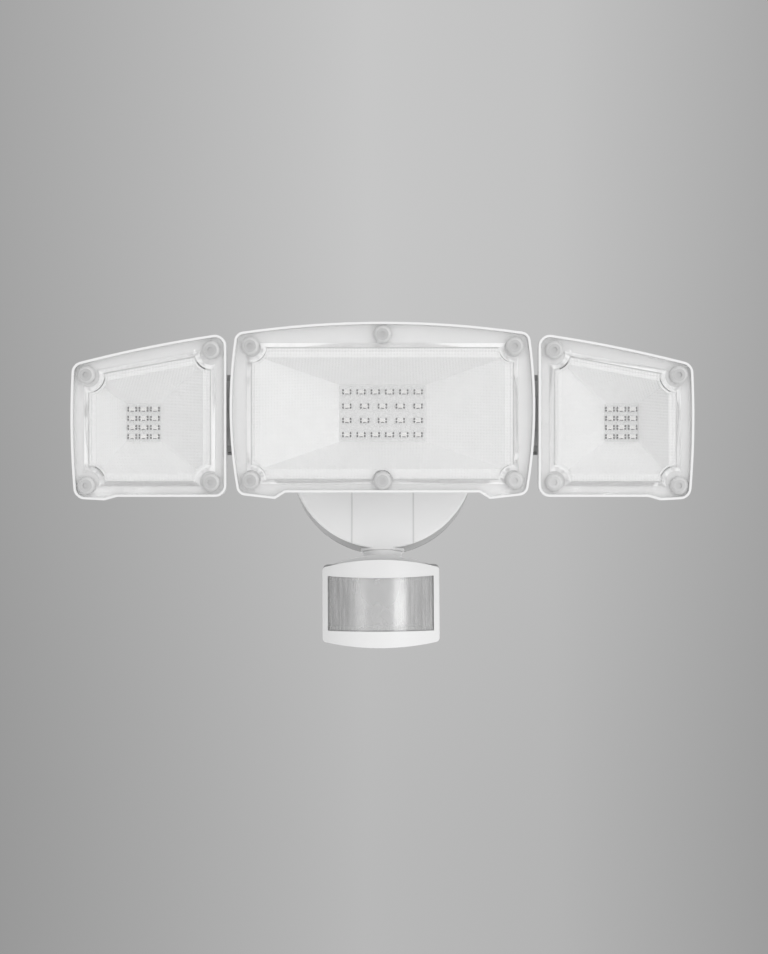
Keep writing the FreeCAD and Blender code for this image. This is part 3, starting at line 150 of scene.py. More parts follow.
class Recipe:
    """The node tree of one material or of the world."""

    # The Mix node's sockets for colours, which share their names with its other sockets.
    MIX_FACTOR, MIX_FIRST, MIX_SECOND, MIX_RESULT = 0, 6, 7, 2

    def __init__(self, tree):
        self.tree = tree
        tree.nodes.clear()

    def node(self, kind, settings=None, inputs=None, output=0):
        """Adds a node: its settings first, then the values or links of its sockets."""
        made = self.tree.nodes.new(kind)
        for name, setting in (settings or {}).items():
            if name == "stops":
                set_stops(made.color_ramp, setting)
            else:
                setattr(made, name, setting)
        for name, given in (inputs or {}).items():
            if isinstance(given, Socket):
                self.tree.links.new(given.output, made.inputs[name])
            else:
                made.inputs[name].default_value = given
        return Socket(self, made.outputs[output] if len(made.outputs) else None)

    def place(self):
        """Place on the piece in metres, in the light's own frame."""
        return self.node("ShaderNodeTexCoord", output="Object")

    def local(self, matrix):
        """Place in millimetres in the frame of a head or of the sensor."""
        shifted = self.vector("ADD", self.place(), tuple(-matrix.translation))
        turn = matrix.inverted().to_euler()
        return self.node("ShaderNodeMapping", {"vector_type": "POINT"},
                         {"Vector": shifted, "Rotation": tuple(turn), "Scale": (1 / MM,) * 3})

    def parts(self, vector):
        """The three numbers of a vector."""
        split = self.node("ShaderNodeSeparateXYZ", None, {"Vector": vector}).output.node
        return [Socket(self, output) for output in split.outputs]

    def across_and_up(self, matrix):
        """The first two numbers of a place in the frame of a head or of the sensor."""
        return self.parts(self.local(matrix))[:2]

    def vector(self, operation, *values):
        return self.node("ShaderNodeVectorMath", {"operation": operation},
                         dict(enumerate(values)))

    def noise(self, place, scale, detail=2.0, roughness=0.5):
        return self.node(
            "ShaderNodeTexNoise", None,
            {"Vector": place, "Scale": scale, "Detail": detail, "Roughness": roughness})

    def streaks(self, across, up, stretch, scale, detail, roughness):
        """Noise that is drawn out upwards."""
        drawn_out = self.node("ShaderNodeCombineXYZ", None, {0: across, 1: up * stretch})
        return self.noise(drawn_out, scale, detail, roughness)

    def blend(self, factor, first, second):
        """Mixes two colours."""
        return self.node(
            "ShaderNodeMix", {"data_type": "RGBA"},
            {self.MIX_FACTOR: factor, self.MIX_FIRST: first, self.MIX_SECOND: second},
            self.MIX_RESULT)

    def mix(self, factor, first, second):
        """Mixes two shaders."""
        return self.node("ShaderNodeMixShader", None, {0: factor, 1: first, 2: second})

    def bump(self, height, distance, strength=1.0):
        return self.node("ShaderNodeBump", None,
                         {"Height": height, "Distance": distance, "Strength": strength})

    def surface(self, **sockets):
        """The plain shader, its sockets named with underscores for spaces."""
        values = {name.replace("_", " "): given for name, given in sockets.items()}
        return self.node("ShaderNodeBsdfPrincipled", None, values)

    def see_through(self, tint):
        return self.node("ShaderNodeBsdfTransparent", None, {"Color": tint})

    def aslant(self):
        """How far the surface turns away from the eye, from 0 to 1, for gloss."""
        return self.node("ShaderNodeLayerWeight", None, {"Blend": 0.5}, "Facing")

    def finish(self, shader, kind="ShaderNodeOutputMaterial"):
        self.node(kind, None, {"Surface": shader})


def set_stops(ramp, stops):
    """Gives a ramp its stops, each a position and a level of grey."""
    while len(ramp.elements) < len(stops):
        ramp.elements.new(0.5)
    for element, (position, level) in zip(ramp.elements, stops):
        element.position = position
        element.color = (level, level, level, 1)


def grey(level, warmth=0.0):
    """A grey as it shows on a screen, 0 to 255, a little warm or cool."""
    shown = level / 255
    linear = shown / 12.92 if shown <= 0.04045 else ((shown + 0.055) / 1.055) ** 2.4
    return (linear * (1 + warmth), linear, linear * (1 - warmth), 1)


def material(name, build):
    """A new material whose recipe a function writes."""
    made = bpy.data.materials.new(name)
    made.use_nodes = True
    recipe = Recipe(made.node_tree)
    recipe.finish(build(recipe))
    return made


# ---------------------------------------------------------------- finishes

def grained(recipe, scale, detail, first, second, roughness, height):
    """One material all through: a fine grain in its colour and its skin."""
    grain = recipe.noise(recipe.place(), scale, detail)
    return recipe.surface(
        Base_Color=recipe.blend(grain, first, second),
        Roughness=roughness,
        Normal=recipe.bump(grain, height))


def powder_coat(recipe, low, high):
    """White powder coat: a fine orange-peel skin, a little duller in patches."""
    place = recipe.place()
    peel = recipe.noise(place, 900, 3.0)
    patches = recipe.noise(place, 22, 4.0)
    height = peel + patches * 0.2
    return recipe.surface(
        Base_Color=recipe.blend(patches, grey(low), grey(high)),
        Roughness=patches.spread(0.3, 0.7, 0.36, 0.46),
        Normal=recipe.bump(height, 0.00004))


def painted_casting(recipe):
    """Powder coat of the housings and the arm."""
    return powder_coat(recipe, 214, 219)


def lip_coat_with_painted_highlight(recipe):
    """Powder coat of the housings' front edge, a little brighter than the rest: a painted highlight
    along the rims.
    """
    return powder_coat(recipe, 228, 232)


def white_moulding(recipe):
    """White moulded plastic with a fine satin grain."""
    place = recipe.place()
    grain = recipe.noise(place, 2200, 2.0)
    flow = recipe.noise(place, 30, 3.0)
    return recipe.surface(
        Base_Color=recipe.blend(flow, grey(230), grey(234)),
        Roughness=flow.spread(0.3, 0.7, 0.32, 0.42),
        Normal=recipe.bump(grain, 0.00002))


def brightened_canopy_moulding(recipe):
    """White moulding of the cup and the stem, painted brighter than the other white mouldings to
    stand in for light under the heads, with painted shade on the cup's wall and in its grooves.
    """
    place = recipe.place()
    grain = recipe.noise(place, 2000, 2.0)
    flow = recipe.noise(place, 30, 3.0)
    across, deep, up = recipe.parts(place)
    # The floors of the two grooves, by their distance from the middle and their depth. They get a
    # painted shade.
    groove_middle = 0.0189
    beside = (across.size() - groove_middle).size().spread(0.0004, 0.0006, 1.0, 0.0)
    sunk = deep.band(-0.0278, -0.0276, -0.0271, -0.0269)
    # The outside of the cup's wall, by the square of its radius, up to its rounded front edge. It
    # gets a painted shade.
    reach = across * across + up * up
    outside = reach.band(0.0564 ** 2, 0.0566 ** 2, 0.0571 ** 2, 0.0572 ** 2)
    wall = outside * deep.spread(-0.0272, -0.027)
    # The cup's white is set brighter than the other white mouldings: painted light.
    white = recipe.blend(flow, grey(251), grey(254))
    white_with_groove_shade = recipe.blend(beside * sunk, white, grey(232))
    return recipe.surface(
        Base_Color=recipe.blend(wall, white_with_groove_shade, grey(182)),
        Roughness=flow.spread(0.3, 0.7, 0.4, 0.5),
        Normal=recipe.bump(grain, 0.00002))


def grey_moulding(recipe):
    """Light grey moulded plastic of the sensor's shell, with a painted shade on its two ledges."""
    place = recipe.place()
    grain = recipe.noise(place, 1600, 2.0)
    flow = recipe.noise(place, 30, 3.0)
    across, up = recipe.across_and_up(SENSOR_FRAME)
    # The two ledges at the ends of the shell get a painted shade.
    painted_ledge_shade = across.size().spread(25.0, 30.0) * up.spread(4.0, 6.0)
    plain = recipe.blend(flow, grey(216), grey(224))
    return recipe.surface(
        Base_Color=recipe.blend(painted_ledge_shade, plain, grey(150)),
        Roughness=flow.spread(0.3, 0.7, 0.38, 0.48),
        Normal=recipe.bump(grain, 0.00003))


def clear_plastic(recipe):
    """See-through plastic, a little milky, glossy where it is seen aslant."""
    ripple = recipe.noise(recipe.place(), 70, 2.0)
    edge = recipe.aslant().power(4.0)
    haze = ripple.spread(0.3, 0.7, 0.05, 0.07) + edge * 0.3
    gloss = edge * 0.16 + 0.04
    through = recipe.see_through((0.992, 0.992, 0.992, 1))
    milky = recipe.surface(Base_Color=grey(246), Roughness=0.35)
    mirror = recipe.surface(
        Base_Color=grey(255),
        Metallic=1.0,
        Roughness=ripple.spread(0.3, 0.7, 0.05, 0.1),
        Normal=recipe.bump(ripple, 0.0003, 0.4))
    return recipe.mix(gloss, recipe.mix(haze, through, milky), mirror)


def lens_film(recipe):
    """Milky lens sheet, drawn in upright streaks, that shows the ribs behind it; towards its ends
    the streaks darken it with painted shade.
    """
    flow = recipe.noise(recipe.place(), 40, 2.0)
    across, up = recipe.across_and_up(SENSOR_FRAME)
    streaks = recipe.streaks(across, up, 0.03, 0.9, 3.0, 0.7).spread(0.38, 0.62)
    # The streaks are the lens's own; their darkening towards both ends is painted shade.
    sides = across.size().spread(10.0, 20.0)
    haze = flow.spread(0.3, 0.7, 0.3, 0.36)
    gloss = recipe.aslant().power(4.0) * 0.5 + 0.06
    through = recipe.see_through((0.93, 0.93, 0.93, 1))
    milky = recipe.surface(
        Base_Color=recipe.blend(streaks * sides, grey(216), grey(184)),
        Roughness=0.4)
    mirror = recipe.surface(
        Base_Color=grey(255),
        Metallic=1.0,
        Roughness=flow.spread(0.3, 0.7, 0.13, 0.17))
    return recipe.mix(gloss, recipe.mix(haze, through, milky), mirror)


def ribbed_film(recipe):
    """Inner side of the lens: upright streaks, greyer towards the ends with painted shade."""
    across, up = recipe.across_and_up(SENSOR_FRAME)
    streaks = recipe.streaks(across, up, 0.04, 0.75, 4.0, 0.75).spread(0.36, 0.64)
    ends = across.size().spread(12.0, 22.0)
    # Towards both ends the film gets darker and its streaks stronger: painted shade.
    shade = streaks * (ends * 0.46 + 0.12) + ends * 0.06
    return recipe.surface(
        Base_Color=recipe.blend(shade, grey(208), grey(118)),
        Roughness=0.5,
        Normal=recipe.bump(streaks, 0.0001))


def soft_seal(recipe):
    """White seal between the housings and their covers, with fine pores."""
    return grained(recipe, 1400, 3.0, grey(246), grey(252), roughness=0.75, height=0.00008)


def foam(recipe):
    """Closed-cell foam of the wall gasket."""
    cells = recipe.node("ShaderNodeTexVoronoi", None, {"Vector": recipe.place(), "Scale": 1500.0})
    return recipe.surface(
        Base_Color=recipe.blend(cells, grey(96), grey(70)),
        Roughness=0.9,
        Normal=recipe.bump(cells, 0.0001))


def washer_with_painted_shade(recipe):
    """Pale grey rubber of the collars round the cover screws; the grey also stands in as painted
    shade for the recess round each screw.
    """
    return grained(recipe, 1800, 2.0, grey(204), grey(214), roughness=0.6, height=0.00003)


def stippled_reflector(recipe):
    """White reflector whose facets carry rows of fine dimples."""
    across, up = recipe.across_and_up(HEAD_FRAME)
    pitch = 1.7
    turn = 2 * math.pi / pitch
    dimples = ((across + up) * turn).wave() * ((across - up) * turn).wave()
    flow = recipe.noise(recipe.place(), 40, 3.0)
    return recipe.surface(
        Base_Color=recipe.blend(flow, grey(234), grey(238)),
        Roughness=0.35,
        Normal=recipe.bump(dimples, 0.00012))


def lamp_board(recipe):
    """White solder mask, faintly uneven over its copper."""
    copper = recipe.noise(recipe.place(), 700, 2.0).spread(0.42, 0.58)
    return recipe.surface(
        Base_Color=recipe.blend(copper, grey(204), grey(212)),
        Roughness=0.5,
        Normal=recipe.bump(copper, 0.00003))


def circuit_board(recipe):
    """Green solder mask with tracks under it."""
    tracks = recipe.noise(recipe.place(), 300, 1.0).spread(0.48, 0.52)
    return recipe.surface(
        Base_Color=recipe.blend(tracks, (0.012, 0.09, 0.035, 1), (0.02, 0.15, 0.06, 1)),
        Roughness=0.35,
        Normal=recipe.bump(tracks, 0.00004))


def lamp_case(recipe):
    """White ceramic case of a lamp."""
    return grained(recipe, 3000, 2.0, grey(214), grey(222), roughness=0.4, height=0.00001)


def phosphor(recipe):
    """Pale layer over an unlit lamp chip."""
    return grained(recipe, 4000, 2.0, grey(210, 0.02), grey(220, 0.01),
                   roughness=0.3, height=0.00002)


def solder(recipe):
    """Dull grey solder at a lamp's contacts."""
    grain = recipe.noise(recipe.place(), 2500, 2.0)
    return recipe.surface(
        Base_Color=recipe.blend(grain, grey(38), grey(60)),
        Metallic=0.3,
        Roughness=grain.spread(0.3, 0.7, 0.35, 0.5))


def dial_plastic(recipe):
    """Dark plastic of the setting knobs."""
    return grained(recipe, 1800, 2.0, grey(64), grey(76), roughness=0.45, height=0.00003)


def potted_case(recipe):
    """Black case of the supply block."""
    return grained(recipe, 1500, 2.0, grey(38), grey(50), roughness=0.5, height=0.00003)


def zinc_plate(recipe):
    """Zinc-plated sheet with a faint crystalline bloom and rolling lines."""
    place = recipe.place()
    bloom = recipe.noise(place, 140, 5.0, 0.7)
    lines = recipe.noise(recipe.vector("MULTIPLY", place, (40, 2500, 2500)), 1.0, 2.0)
    return recipe.surface(
        Base_Color=recipe.blend(bloom, grey(170), grey(200, 0.01)),
        Metallic=1.0,
        Roughness=bloom.spread(0.3, 0.7, 0.28, 0.45),
        Normal=recipe.bump(lines, 0.00001))


def green_paint(recipe):
    """Green paint of the earthing screw, worn in spots."""
    chips = recipe.noise(recipe.place(), 700, 3.0)
    return recipe.surface(
        Base_Color=recipe.blend(chips, (0.01, 0.12, 0.03, 1), (0.02, 0.2, 0.05, 1)),
        Roughness=0.4)


def screw_metal(recipe):
    """Bright stainless screw with fine turning marks."""
    place = recipe.place()
    marks = recipe.noise(recipe.vector("MULTIPLY", place, (900, 5200, 900)), 1.0, 2.0)
    return recipe.surface(
        Base_Color=recipe.blend(marks, grey(164), grey(186)),
        Metallic=0.5,
        Roughness=marks.spread(0.3, 0.7, 0.3, 0.42),
        Normal=recipe.bump(marks, 0.00001))


FINISHES = {
    "white_casting": painted_casting,
    "lit_white_lip": lip_coat_with_painted_highlight,
    "white_moulding": white_moulding,
    "brightened_canopy_moulding": brightened_canopy_moulding,
    "grey_moulding": grey_moulding,
    "clear_cover": clear_plastic,
    "seal": soft_seal,
    "wall_foam": foam,
    "washer": washer_with_painted_shade,
    "reflector": stippled_reflector,
    "board": lamp_board,
    "circuit": circuit_board,
    "led": lamp_case,
    "lamp_window": phosphor,
    "contact": solder,
    "dial": dial_plastic,
    "lens": lens_film,
    "lens_back": ribbed_film,
    "driver_case": potted_case,
    "plated_steel": zinc_plate,
    "ground_screw": green_paint,
    "screw_steel": screw_metal,
}
# Carried-over pieces whose finish isn't that of their slot.
OWN_FINISHES = {
    "canopy_cover": "brightened_canopy_moulding",
    "canopy_gasket": "wall_foam",
    "sensor_board": "circuit",
    "sensor_neck": "brightened_canopy_moulding",
}
finishes = {name: material(name, build) for name, build in FINISHES.items()}


def dress_nodes():
    """Gives every carried-over piece the finish of its slot in the record, or its own."""
    for name, item in nodes.items():
        item.data.materials.clear()
        item.data.materials.append(finishes[OWN_FINISHES.get(name, slots[name])])


# ---------------------------------------------------------------- drawing fittings

def added(name, data):
    """A new object in the scene."""
    item = bpy.data.objects.new(name, data)
    bpy.context.scene.collection.objects.link(item)
    return item


class Fitting:
    """A mesh drawn in millimetres, which becomes one piece of the light."""

    def __init__(self, name, finish, slot):
        self.name = name
        self.finish = finish
        self.slot = slot
        self.mesh = bmesh.new()

    def skin(self, loops, place=Matrix(), joined=False):
        """Faces between loops of points, whose ends are capped or joined to each other."""
        faces = self.mesh.faces
        rings = [[self.mesh.verts.new(place @ (point * MM)) for point in loop] for loop in loops]
        pairs = list(zip(rings, rings[1:]))
        if joined:
            pairs.append((rings[-1], rings[0]))
        for lower, upper in pairs:
            for here in range(len(lower)):
                following = (here + 1) % len(lower)
                faces.new((lower[here], lower[following], upper[following], upper[here]))
        if not joined:
            faces.new(reversed(rings[0]))
            faces.new(rings[-1])

    def fit(self, body, *replaced):
        """Puts the piece on a body, in the place of the nodes that it stands for."""
        bmesh.ops.recalc_face_normals(self.mesh, faces=self.mesh.faces)
        mesh = bpy.data.meshes.new(self.name)
        self.mesh.to_mesh(mesh)
        self.mesh.free()
        mesh.materials.append(finishes[self.finish])
        mesh.shade_smooth()
        mesh.set_sharp_from_angle(angle=SHARP)
        item = added(self.name, mesh)
        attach(item, body)
        if replaced:
            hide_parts(*replaced)


def ring(radius, height, count=36):
    """Points round Z. A radius or a height may be a rule that changes with the angle."""
    points = []
    for step in range(count):
        angle = 2 * math.pi * step / count
        reach = radius(angle) if callable(radius) else radius
        level = height(angle) if callable(height) else height
        points.append(Vector((reach * math.cos(angle), reach * math.sin(angle), level)))
    return points


def hexagon(corner):
    """Rule for the radius of a hexagon whose corners have a given radius."""
    flat = corner * math.cos(math.pi / 6)
    return lambda angle: flat / math.cos(angle % (math.pi / 3) - math.pi / 6)


def chamfered_hexagon(corner, base, top):
    """Loops of a bolt head or nut whose outer corners are turned off."""
    outer = hexagon(corner)
    face = corner * math.cos(math.pi / 6) * 0.96
    slope = math.copysign(math.tan(math.pi / 6), top - base)
    return [ring(outer, base, HEX_COUNT),
            ring(outer, lambda angle: top - (outer(angle) - face) * slope, HEX_COUNT),
            ring(face, top, HEX_COUNT)]


def thread(radius, pitch, low, high):
    """Loops of a screw thread with a chamfered end at the top."""
    depth = 0.45 * pitch
    loops_per_turn = 4
    steps = round((high - low) / (pitch / loops_per_turn))

    def reach(angle, level):
        part = (level / pitch - angle / (2 * math.pi)) % 1
        cut = depth * abs(1 - 2 * part)
        return min(radius - cut, radius - depth + (high - level))

    levels = [low + (high - low) * step / steps for step in range(steps + 1)]
    return [ring(lambda angle: reach(angle, level), level) for level in levels]


def rounded(half_x, half_y, height, power=5.0, count=28):
    """Loop of a rectangle with rounded corners."""
    points = []
    for step in range(count):
        angle = 2 * math.pi * (step + 0.5) / count
        across, up = math.cos(angle), math.sin(angle)
        reach = (abs(across) ** power + abs(up) ** power) ** (-1 / power)
        points.append(Vector((half_x * reach * across, half_y * reach * up, height)))
    return points


def welded(name):
    """A node's mesh with its double points joined."""
    mesh = bmesh.new()
    mesh.from_mesh(nodes[name].data)
    bmesh.ops.remove_doubles(mesh, verts=mesh.verts, dist=WELD)
    return mesh


def islands(name, place):
    """Lowest and highest corners of each separate solid of a node, in a frame, in millimetres."""
    mesh = welded(name)
    back = place.inverted()
    waiting = set(mesh.verts)
    found = []
    while waiting:
        reached = [waiting.pop()]
        points = []
        while reached:
            vertex = reached.pop()
            points.append(back @ vertex.co / MM)
            for edge in vertex.link_edges:
                other = edge.other_vert(vertex)
                if other in waiting:
                    waiting.remove(other)
                    reached.append(other)
        low = Vector([min(point[axis] for point in points) for axis in range(3)])
        high = Vector([max(point[axis] for point in points) for axis in range(3)])
        found.append((low, high))
    mesh.free()
    return sorted(found, key=lambda ends: (round(ends[0].y, 2), round(ends[0].x, 2)))


# ---------------------------------------------------------------- fittings of the heads

def lean(head, part):
    """A side head's reflector or lamps, with the far end moved outwards as in the photograph."""
    name = f"{head}_{part}"
    form = Fitting(f"{name}_form", slots[name], slots[name])
    form.mesh.from_mesh(nodes[name].data)
    back = HEAD_FRAME.inverted()
    for vertex in form.mesh.verts:
        spot = back @ vertex.co
        share = (-spot.z / MM - SEAT) / (WINDOW_DEPTH - SEAT)
        share = 1.0 if part == "leds" else min(max(share, 0.0), 1.0)
        vertex.co = HEAD_FRAME @ (spot + Vector((LEANS[head] * share * MM, 0, 0)))
    form.fit(carriers[name], name)


def solder_contact(contacts, place, foot, crown, rise, crest, power):
    """One contact with straight sides and a narrower crown, given by their half widths."""
    contacts.skin([rounded(*foot, 0.0, power, 12), rounded(*foot, rise, power, 12),
                   rounded(*crown, rise + crest, power, 12)], place)


def dress_lamps(head):
    """Each lamp's domed window and the solder at its contacts."""
    name = f"{head}_leds"
    windows = Fitting(f"{head}_lamp_windows", "lamp_window", "led")
    contacts = Fitting(f"{head}_lamp_contacts", "contact", "led")
    # How far a window lies inside its lamp's sides and ends, and its heights about the top.
    sides, ends, sunk, proud = 0.8, 0.4, -0.15, 0.14
    for low, high in islands(name, HEAD_FRAME):
        middle = (low + high) / 2
        half = (high - low) / 2
        rise = high.z - low.z
        middle.x += LEANS[head]
        wide, deep = half.x - sides, half.y - ends
        windows.skin([rounded(wide, deep, sunk), rounded(wide, deep, 0.03),
                      rounded(wide - 0.25, deep - 0.25, 0.11),
                      rounded(wide * 0.4, deep * 0.4, proud)],
                     HEAD_FRAME @ moved(middle.x, middle.y, high.z))
        for side in (-1, 1):
            for end in (-1, 1):
                corner = HEAD_FRAME @ moved(middle.x + side * (half.x - 0.14),
                                            middle.y + end * (half.y - 0.52), low.z)
                solder_contact(contacts, corner, (0.5, 0.66), (0.4, 0.56), rise, 0.1, 3.0)
        bar = HEAD_FRAME @ moved(middle.x, low.y + 0.16, low.z)
        solder_contact(contacts, bar, (1.1, 0.2), (1.0, 0.12), rise, 0.05, 4.0)
    windows.fit(carriers[name])
    contacts.fit(carriers[name])


def dress_screws(head):
    """A soft collar round the head of each cover screw."""
    name = f"{head}_cover_screws"
    # The collars are sealing washers; their grey also stands in for the shade of a recess round
    # each screw: painted shade.
    collars = Fitting(f"{head}_cover_washers", "washer", "seal")
    inner, outer, thick = 3.52, 5.1, 1.6
    for low, high in islands(name, HEAD_FRAME):
        middle = (low + high) / 2
        collars.skin([ring(outer, 0.02), ring(outer - 0.1, 0.3), ring(outer - 0.6, 0.8),
                      ring(inner + 0.3, thick - 0.15), ring(inner, thick), ring(inner, 0.02)],
                     HEAD_FRAME @ moved(middle.x, middle.y, -COVER_FLANGE), joined=True)
    collars.fit(carriers[name])


def dress_pockets(head):
    """Strip of seal in each corner, over the gap between the gasket and the reflector."""
    name = f"{head}_cover_screws"
    strips = Fitting(f"{head}_pocket_seals", "seal", "seal")
    inner, outer = SCOOPS[head] + 0.2, SCOOPS[head] + 1.2
    lower, upper = -SEAT + 0.01, -SEAT + 0.08
    section = ((inner, lower), (outer, lower), (outer, upper), (inner, upper))
    half_arc, steps = math.radians(48), 16
    for low, high in islands(name, HEAD_FRAME):
        post = (low + high) / 2
        inwards = HEAD_MIDDLES[head] - post.x
        if abs(inwards) < 1.0:
            continue  # a screw halfway along an edge has no corner
        heading = math.atan2(-post.y, math.copysign(abs(post.y), inwards))
        angles = [heading + half_arc * (2 * step / steps - 1) for step in range(steps + 1)]
        loops = [[Vector((reach * math.cos(angle), reach * math.sin(angle), level))
                  for reach, level in section] for angle in angles]
        strips.skin(loops, HEAD_FRAME @ moved(post.x, post.y, 0))
    strips.fit(carriers[name])


def rim_outline(name):
    """Outer edge of a housing's rim, walked once round, where its wall turns to the back."""
    mesh = welded(name)
    back = HEAD_FRAME.inverted()
    spots = {vertex: back @ vertex.co / MM for vertex in mesh.verts}
    height, slack = RIM_BACK_ROUND - RIM_DEPTH, 0.01
    level = {vertex for vertex, spot in spots.items() if abs(spot.z - height) < slack}
    neighbours = {vertex: [edge.other_vert(vertex) for edge in vertex.link_edges
                           if edge.other_vert(vertex) in level] for vertex in level}
    here = max(level, key=lambda vertex: (spots[vertex].y, spots[vertex].x))
    walked = []
    while here is not None:
        walked.append(here)
        ahead = [vertex for vertex in neighbours[here] if vertex not in walked]
        spot = spots[here]
        here = min(ahead, key=lambda vertex: (spots[vertex] - spot).length, default=None)
    points = [spots[vertex].xy for vertex in walked]
    mesh.free()
    return points if area(points) > 0 else points[::-1]


def area(points):
    """Area that a walk round some points encloses, less than nothing if it goes clockwise."""
    return sum(a.x * b.y - b.x * a.y for a, b in zip(points, points[1:] + points[:1])) / 2


def drawn_in(points, inset, height):
    """A closed outline moved inwards, at a height."""
    inner = []
    for before, here, after in zip(points[-1:] + points[:-1], points, points[1:] + points[:1]):
        into = (here - before).normalized()
        away = (after - here).normalized()
        along = (into + away).normalized()
        inward = Vector((-along.y, along.x))
        stretch = 1 / max(along.dot(into), 0.5)
        spot = here + inward * inset * stretch
        inner.append(Vector((spot.x, spot.y, height)))
    return inner


def dress_lip(head):
    """Even bead along the front edge of a housing, which holds its cover."""
    name = f"{head}_housing"
    points = rim_outline(name)
    # The bead takes the brighter powder coat: a painted highlight along the rim.
    bead = Fitting(f"{head}_lip", "lit_white_lip", "white_casting")
    # How far in from the outline and how high, from the bead's outer foot to its inner one.
    section = [(0.06, -2.9), (0.06, -0.06), (0.16, 0.01), (1.2, 0.01),
               (1.42, -0.2), (1.42, -0.79), (1.1, -0.85), (1.1, -2.9)]
    bead.skin([drawn_in(points, inset, height) for inset, height in section],
              HEAD_FRAME, joined=True)
    bead.fit(carriers[name])


def hex_bolt(name, place, corner, thick, radius, pitch, length):
    """Bolt along Z from the underside of its head, threaded at its end."""
    bolt = Fitting(name, "screw_steel", "screw_steel")
    sunk, lap, threaded = 0.5, 0.2, 4 * thick / 3
    plain = length - threaded
    bolt.skin(chamfered_hexagon(corner, 0.0, -thick), place)
    bolt.skin([ring(radius, -sunk), ring(radius, plain)], place)
    bolt.skin(thread(radius, pitch, plain - lap, length), place)
    bolt.fit(carriers[name], name)


def hex_nut(name, place, corner, thick, radius):
    """Nut along Z from its inner face, its bore lined up with the bolt."""
    nut = Fitting(name, "screw_steel", "screw_steel")
    bore, bevel = radius + 0.02, 0.4
    loops = chamfered_hexagon(corner, 0.0, thick)
    loops += [ring(bore + bevel, thick, HEX_COUNT), ring(bore, thick - bevel, HEX_COUNT),
              ring(bore, 0.0, HEX_COUNT)]
    nut.skin(loops, place, joined=True)
    nut.fit(carriers[name], name)


def dress_pin(word, place, half, corner, thick, radius, pitch, spare):
    """Bolt and nut of a hinge, along Z and half its length before and after its middle."""
    hex_bolt(f"{word}_bolt", place @ moved(0, 0, -half), corner, thick, radius, pitch,
             2 * half + spare)
    hex_nut(f"{word}_nut", place @ moved(0, 0, half), corner, thick, radius)


def dress_bolts():
    """Bolts and nuts of the tilt fork and of the two swing hinges."""
    fork = HEAD_FRAME @ moved(0, -HEAD_RISE, -HEAD_REACH) @ Matrix.Rotation(UPRIGHT, 4, "Y")
    dress_pin("tilt", fork, half=14.15, corner=7.0, thick=5.0, radius=4.0, pitch=1.25, spare=7.0)
    hinge_side, hinge_depth = 88.05, -24
    downward = Matrix.Rotation(UPRIGHT, 4, "X")
    for side, word in ((-1, "left"), (1, "right")):
        hinge = HEAD_FRAME @ moved(side * hinge_side, 0, hinge_depth) @ downward
        dress_pin(f"{word}_swing", hinge,
                  half=18.8, corner=5.5, thick=3.5, radius=3.0, pitch=1.0, spare=5.5)


# ---------------------------------------------------------------- fittings of the sensor

def dress_lens():
    """Ribbed sheet behind the milky lens, bowed forward as a part of a drum."""
    half, low, high = 30.9, -32.8, -0.5
    drum, front, thick = 72.6, 31.7, 0.9
    pitch, depth, cuts = 1.25, 0.4, 4
    steps = cuts * round(2 * half / pitch)
    loops = []
    for step in range(steps + 1):
        x = -half + 2 * half * step / steps
        level = front - drum + math.sqrt(drum * drum - x * x)
        rib = depth * (step % cuts) / cuts
        loops.append([Vector((x, low, level - thick)), Vector((x, high, level - thick)),
                      Vector((x, high, level - rib)), Vector((x, low, level - rib))])
    ribs = Fitting("lens_ribs", "lens_back", "lens")
    ribs.skin(loops, SENSOR_FRAME)
    ribs.fit("sensor_head")


def dress_tilt_screw():
    """Sunk screw through the sensor's shell, with a rounded head and a hexagonal recess."""
    half, thick, radius = 16.4, 2.6, 4.3
    shank, sunk = 2.5, 0.5
    recess, recess_depth = hexagon(2.2), 1.5
    screw = Fitting("sensor_tilt_bolt", "screw_steel", "screw_steel")
    screw.skin([ring(shank, -half - sunk), ring(shank, half + sunk)],
               SENSOR_FRAME @ Matrix.Rotation(UPRIGHT, 4, "Y"))
    for side in (-1, 1):
        place = SENSOR_FRAME @ moved(side * half, 0, 0) @ Matrix.Rotation(side * UPRIGHT, 4, "Y")
        screw.skin([ring(radius, 0.0), ring(radius, thick - 0.7),
                    ring(radius - 0.2, thick - 0.25), ring(radius - 0.7, thick),
                    ring(recess, thick), ring(recess, thick - recess_depth)], place)
    screw.fit("sensor_head", "sensor_tilt_bolt")


def dress_dials():
    """A fluted grip round each setting knob."""
    inner, outer, flutes, flute_depth = 4.22, 4.7, 24, 0.22
    apart, drop, forward, tall = 11.5, -39.1, 8.5, 2.3
    count = flutes * 6
    downward = Matrix.Rotation(-UPRIGHT, 4, "X")

    def fluted(angle):
        return outer - flute_depth * (1 + math.cos(flutes * angle)) / 2

    for step, name in ((-1, "time_dial"), (0, "light_dial"), (1, "range_dial")):
        grip = Fitting(f"{name}_grip", "dial", "dial")
        place = SENSOR_FRAME @ moved(step * apart, drop, forward) @ downward
        grip.skin([ring(fluted, -0.1, count), ring(fluted, 0.3 - tall, count),
                   ring(inner + 0.15, -tall, count), ring(inner, 0.2 - tall, count),
                   ring(inner, -0.1, count)], place, joined=True)
        grip.fit(name)


# ---------------------------------------------------------------- room, light and camera

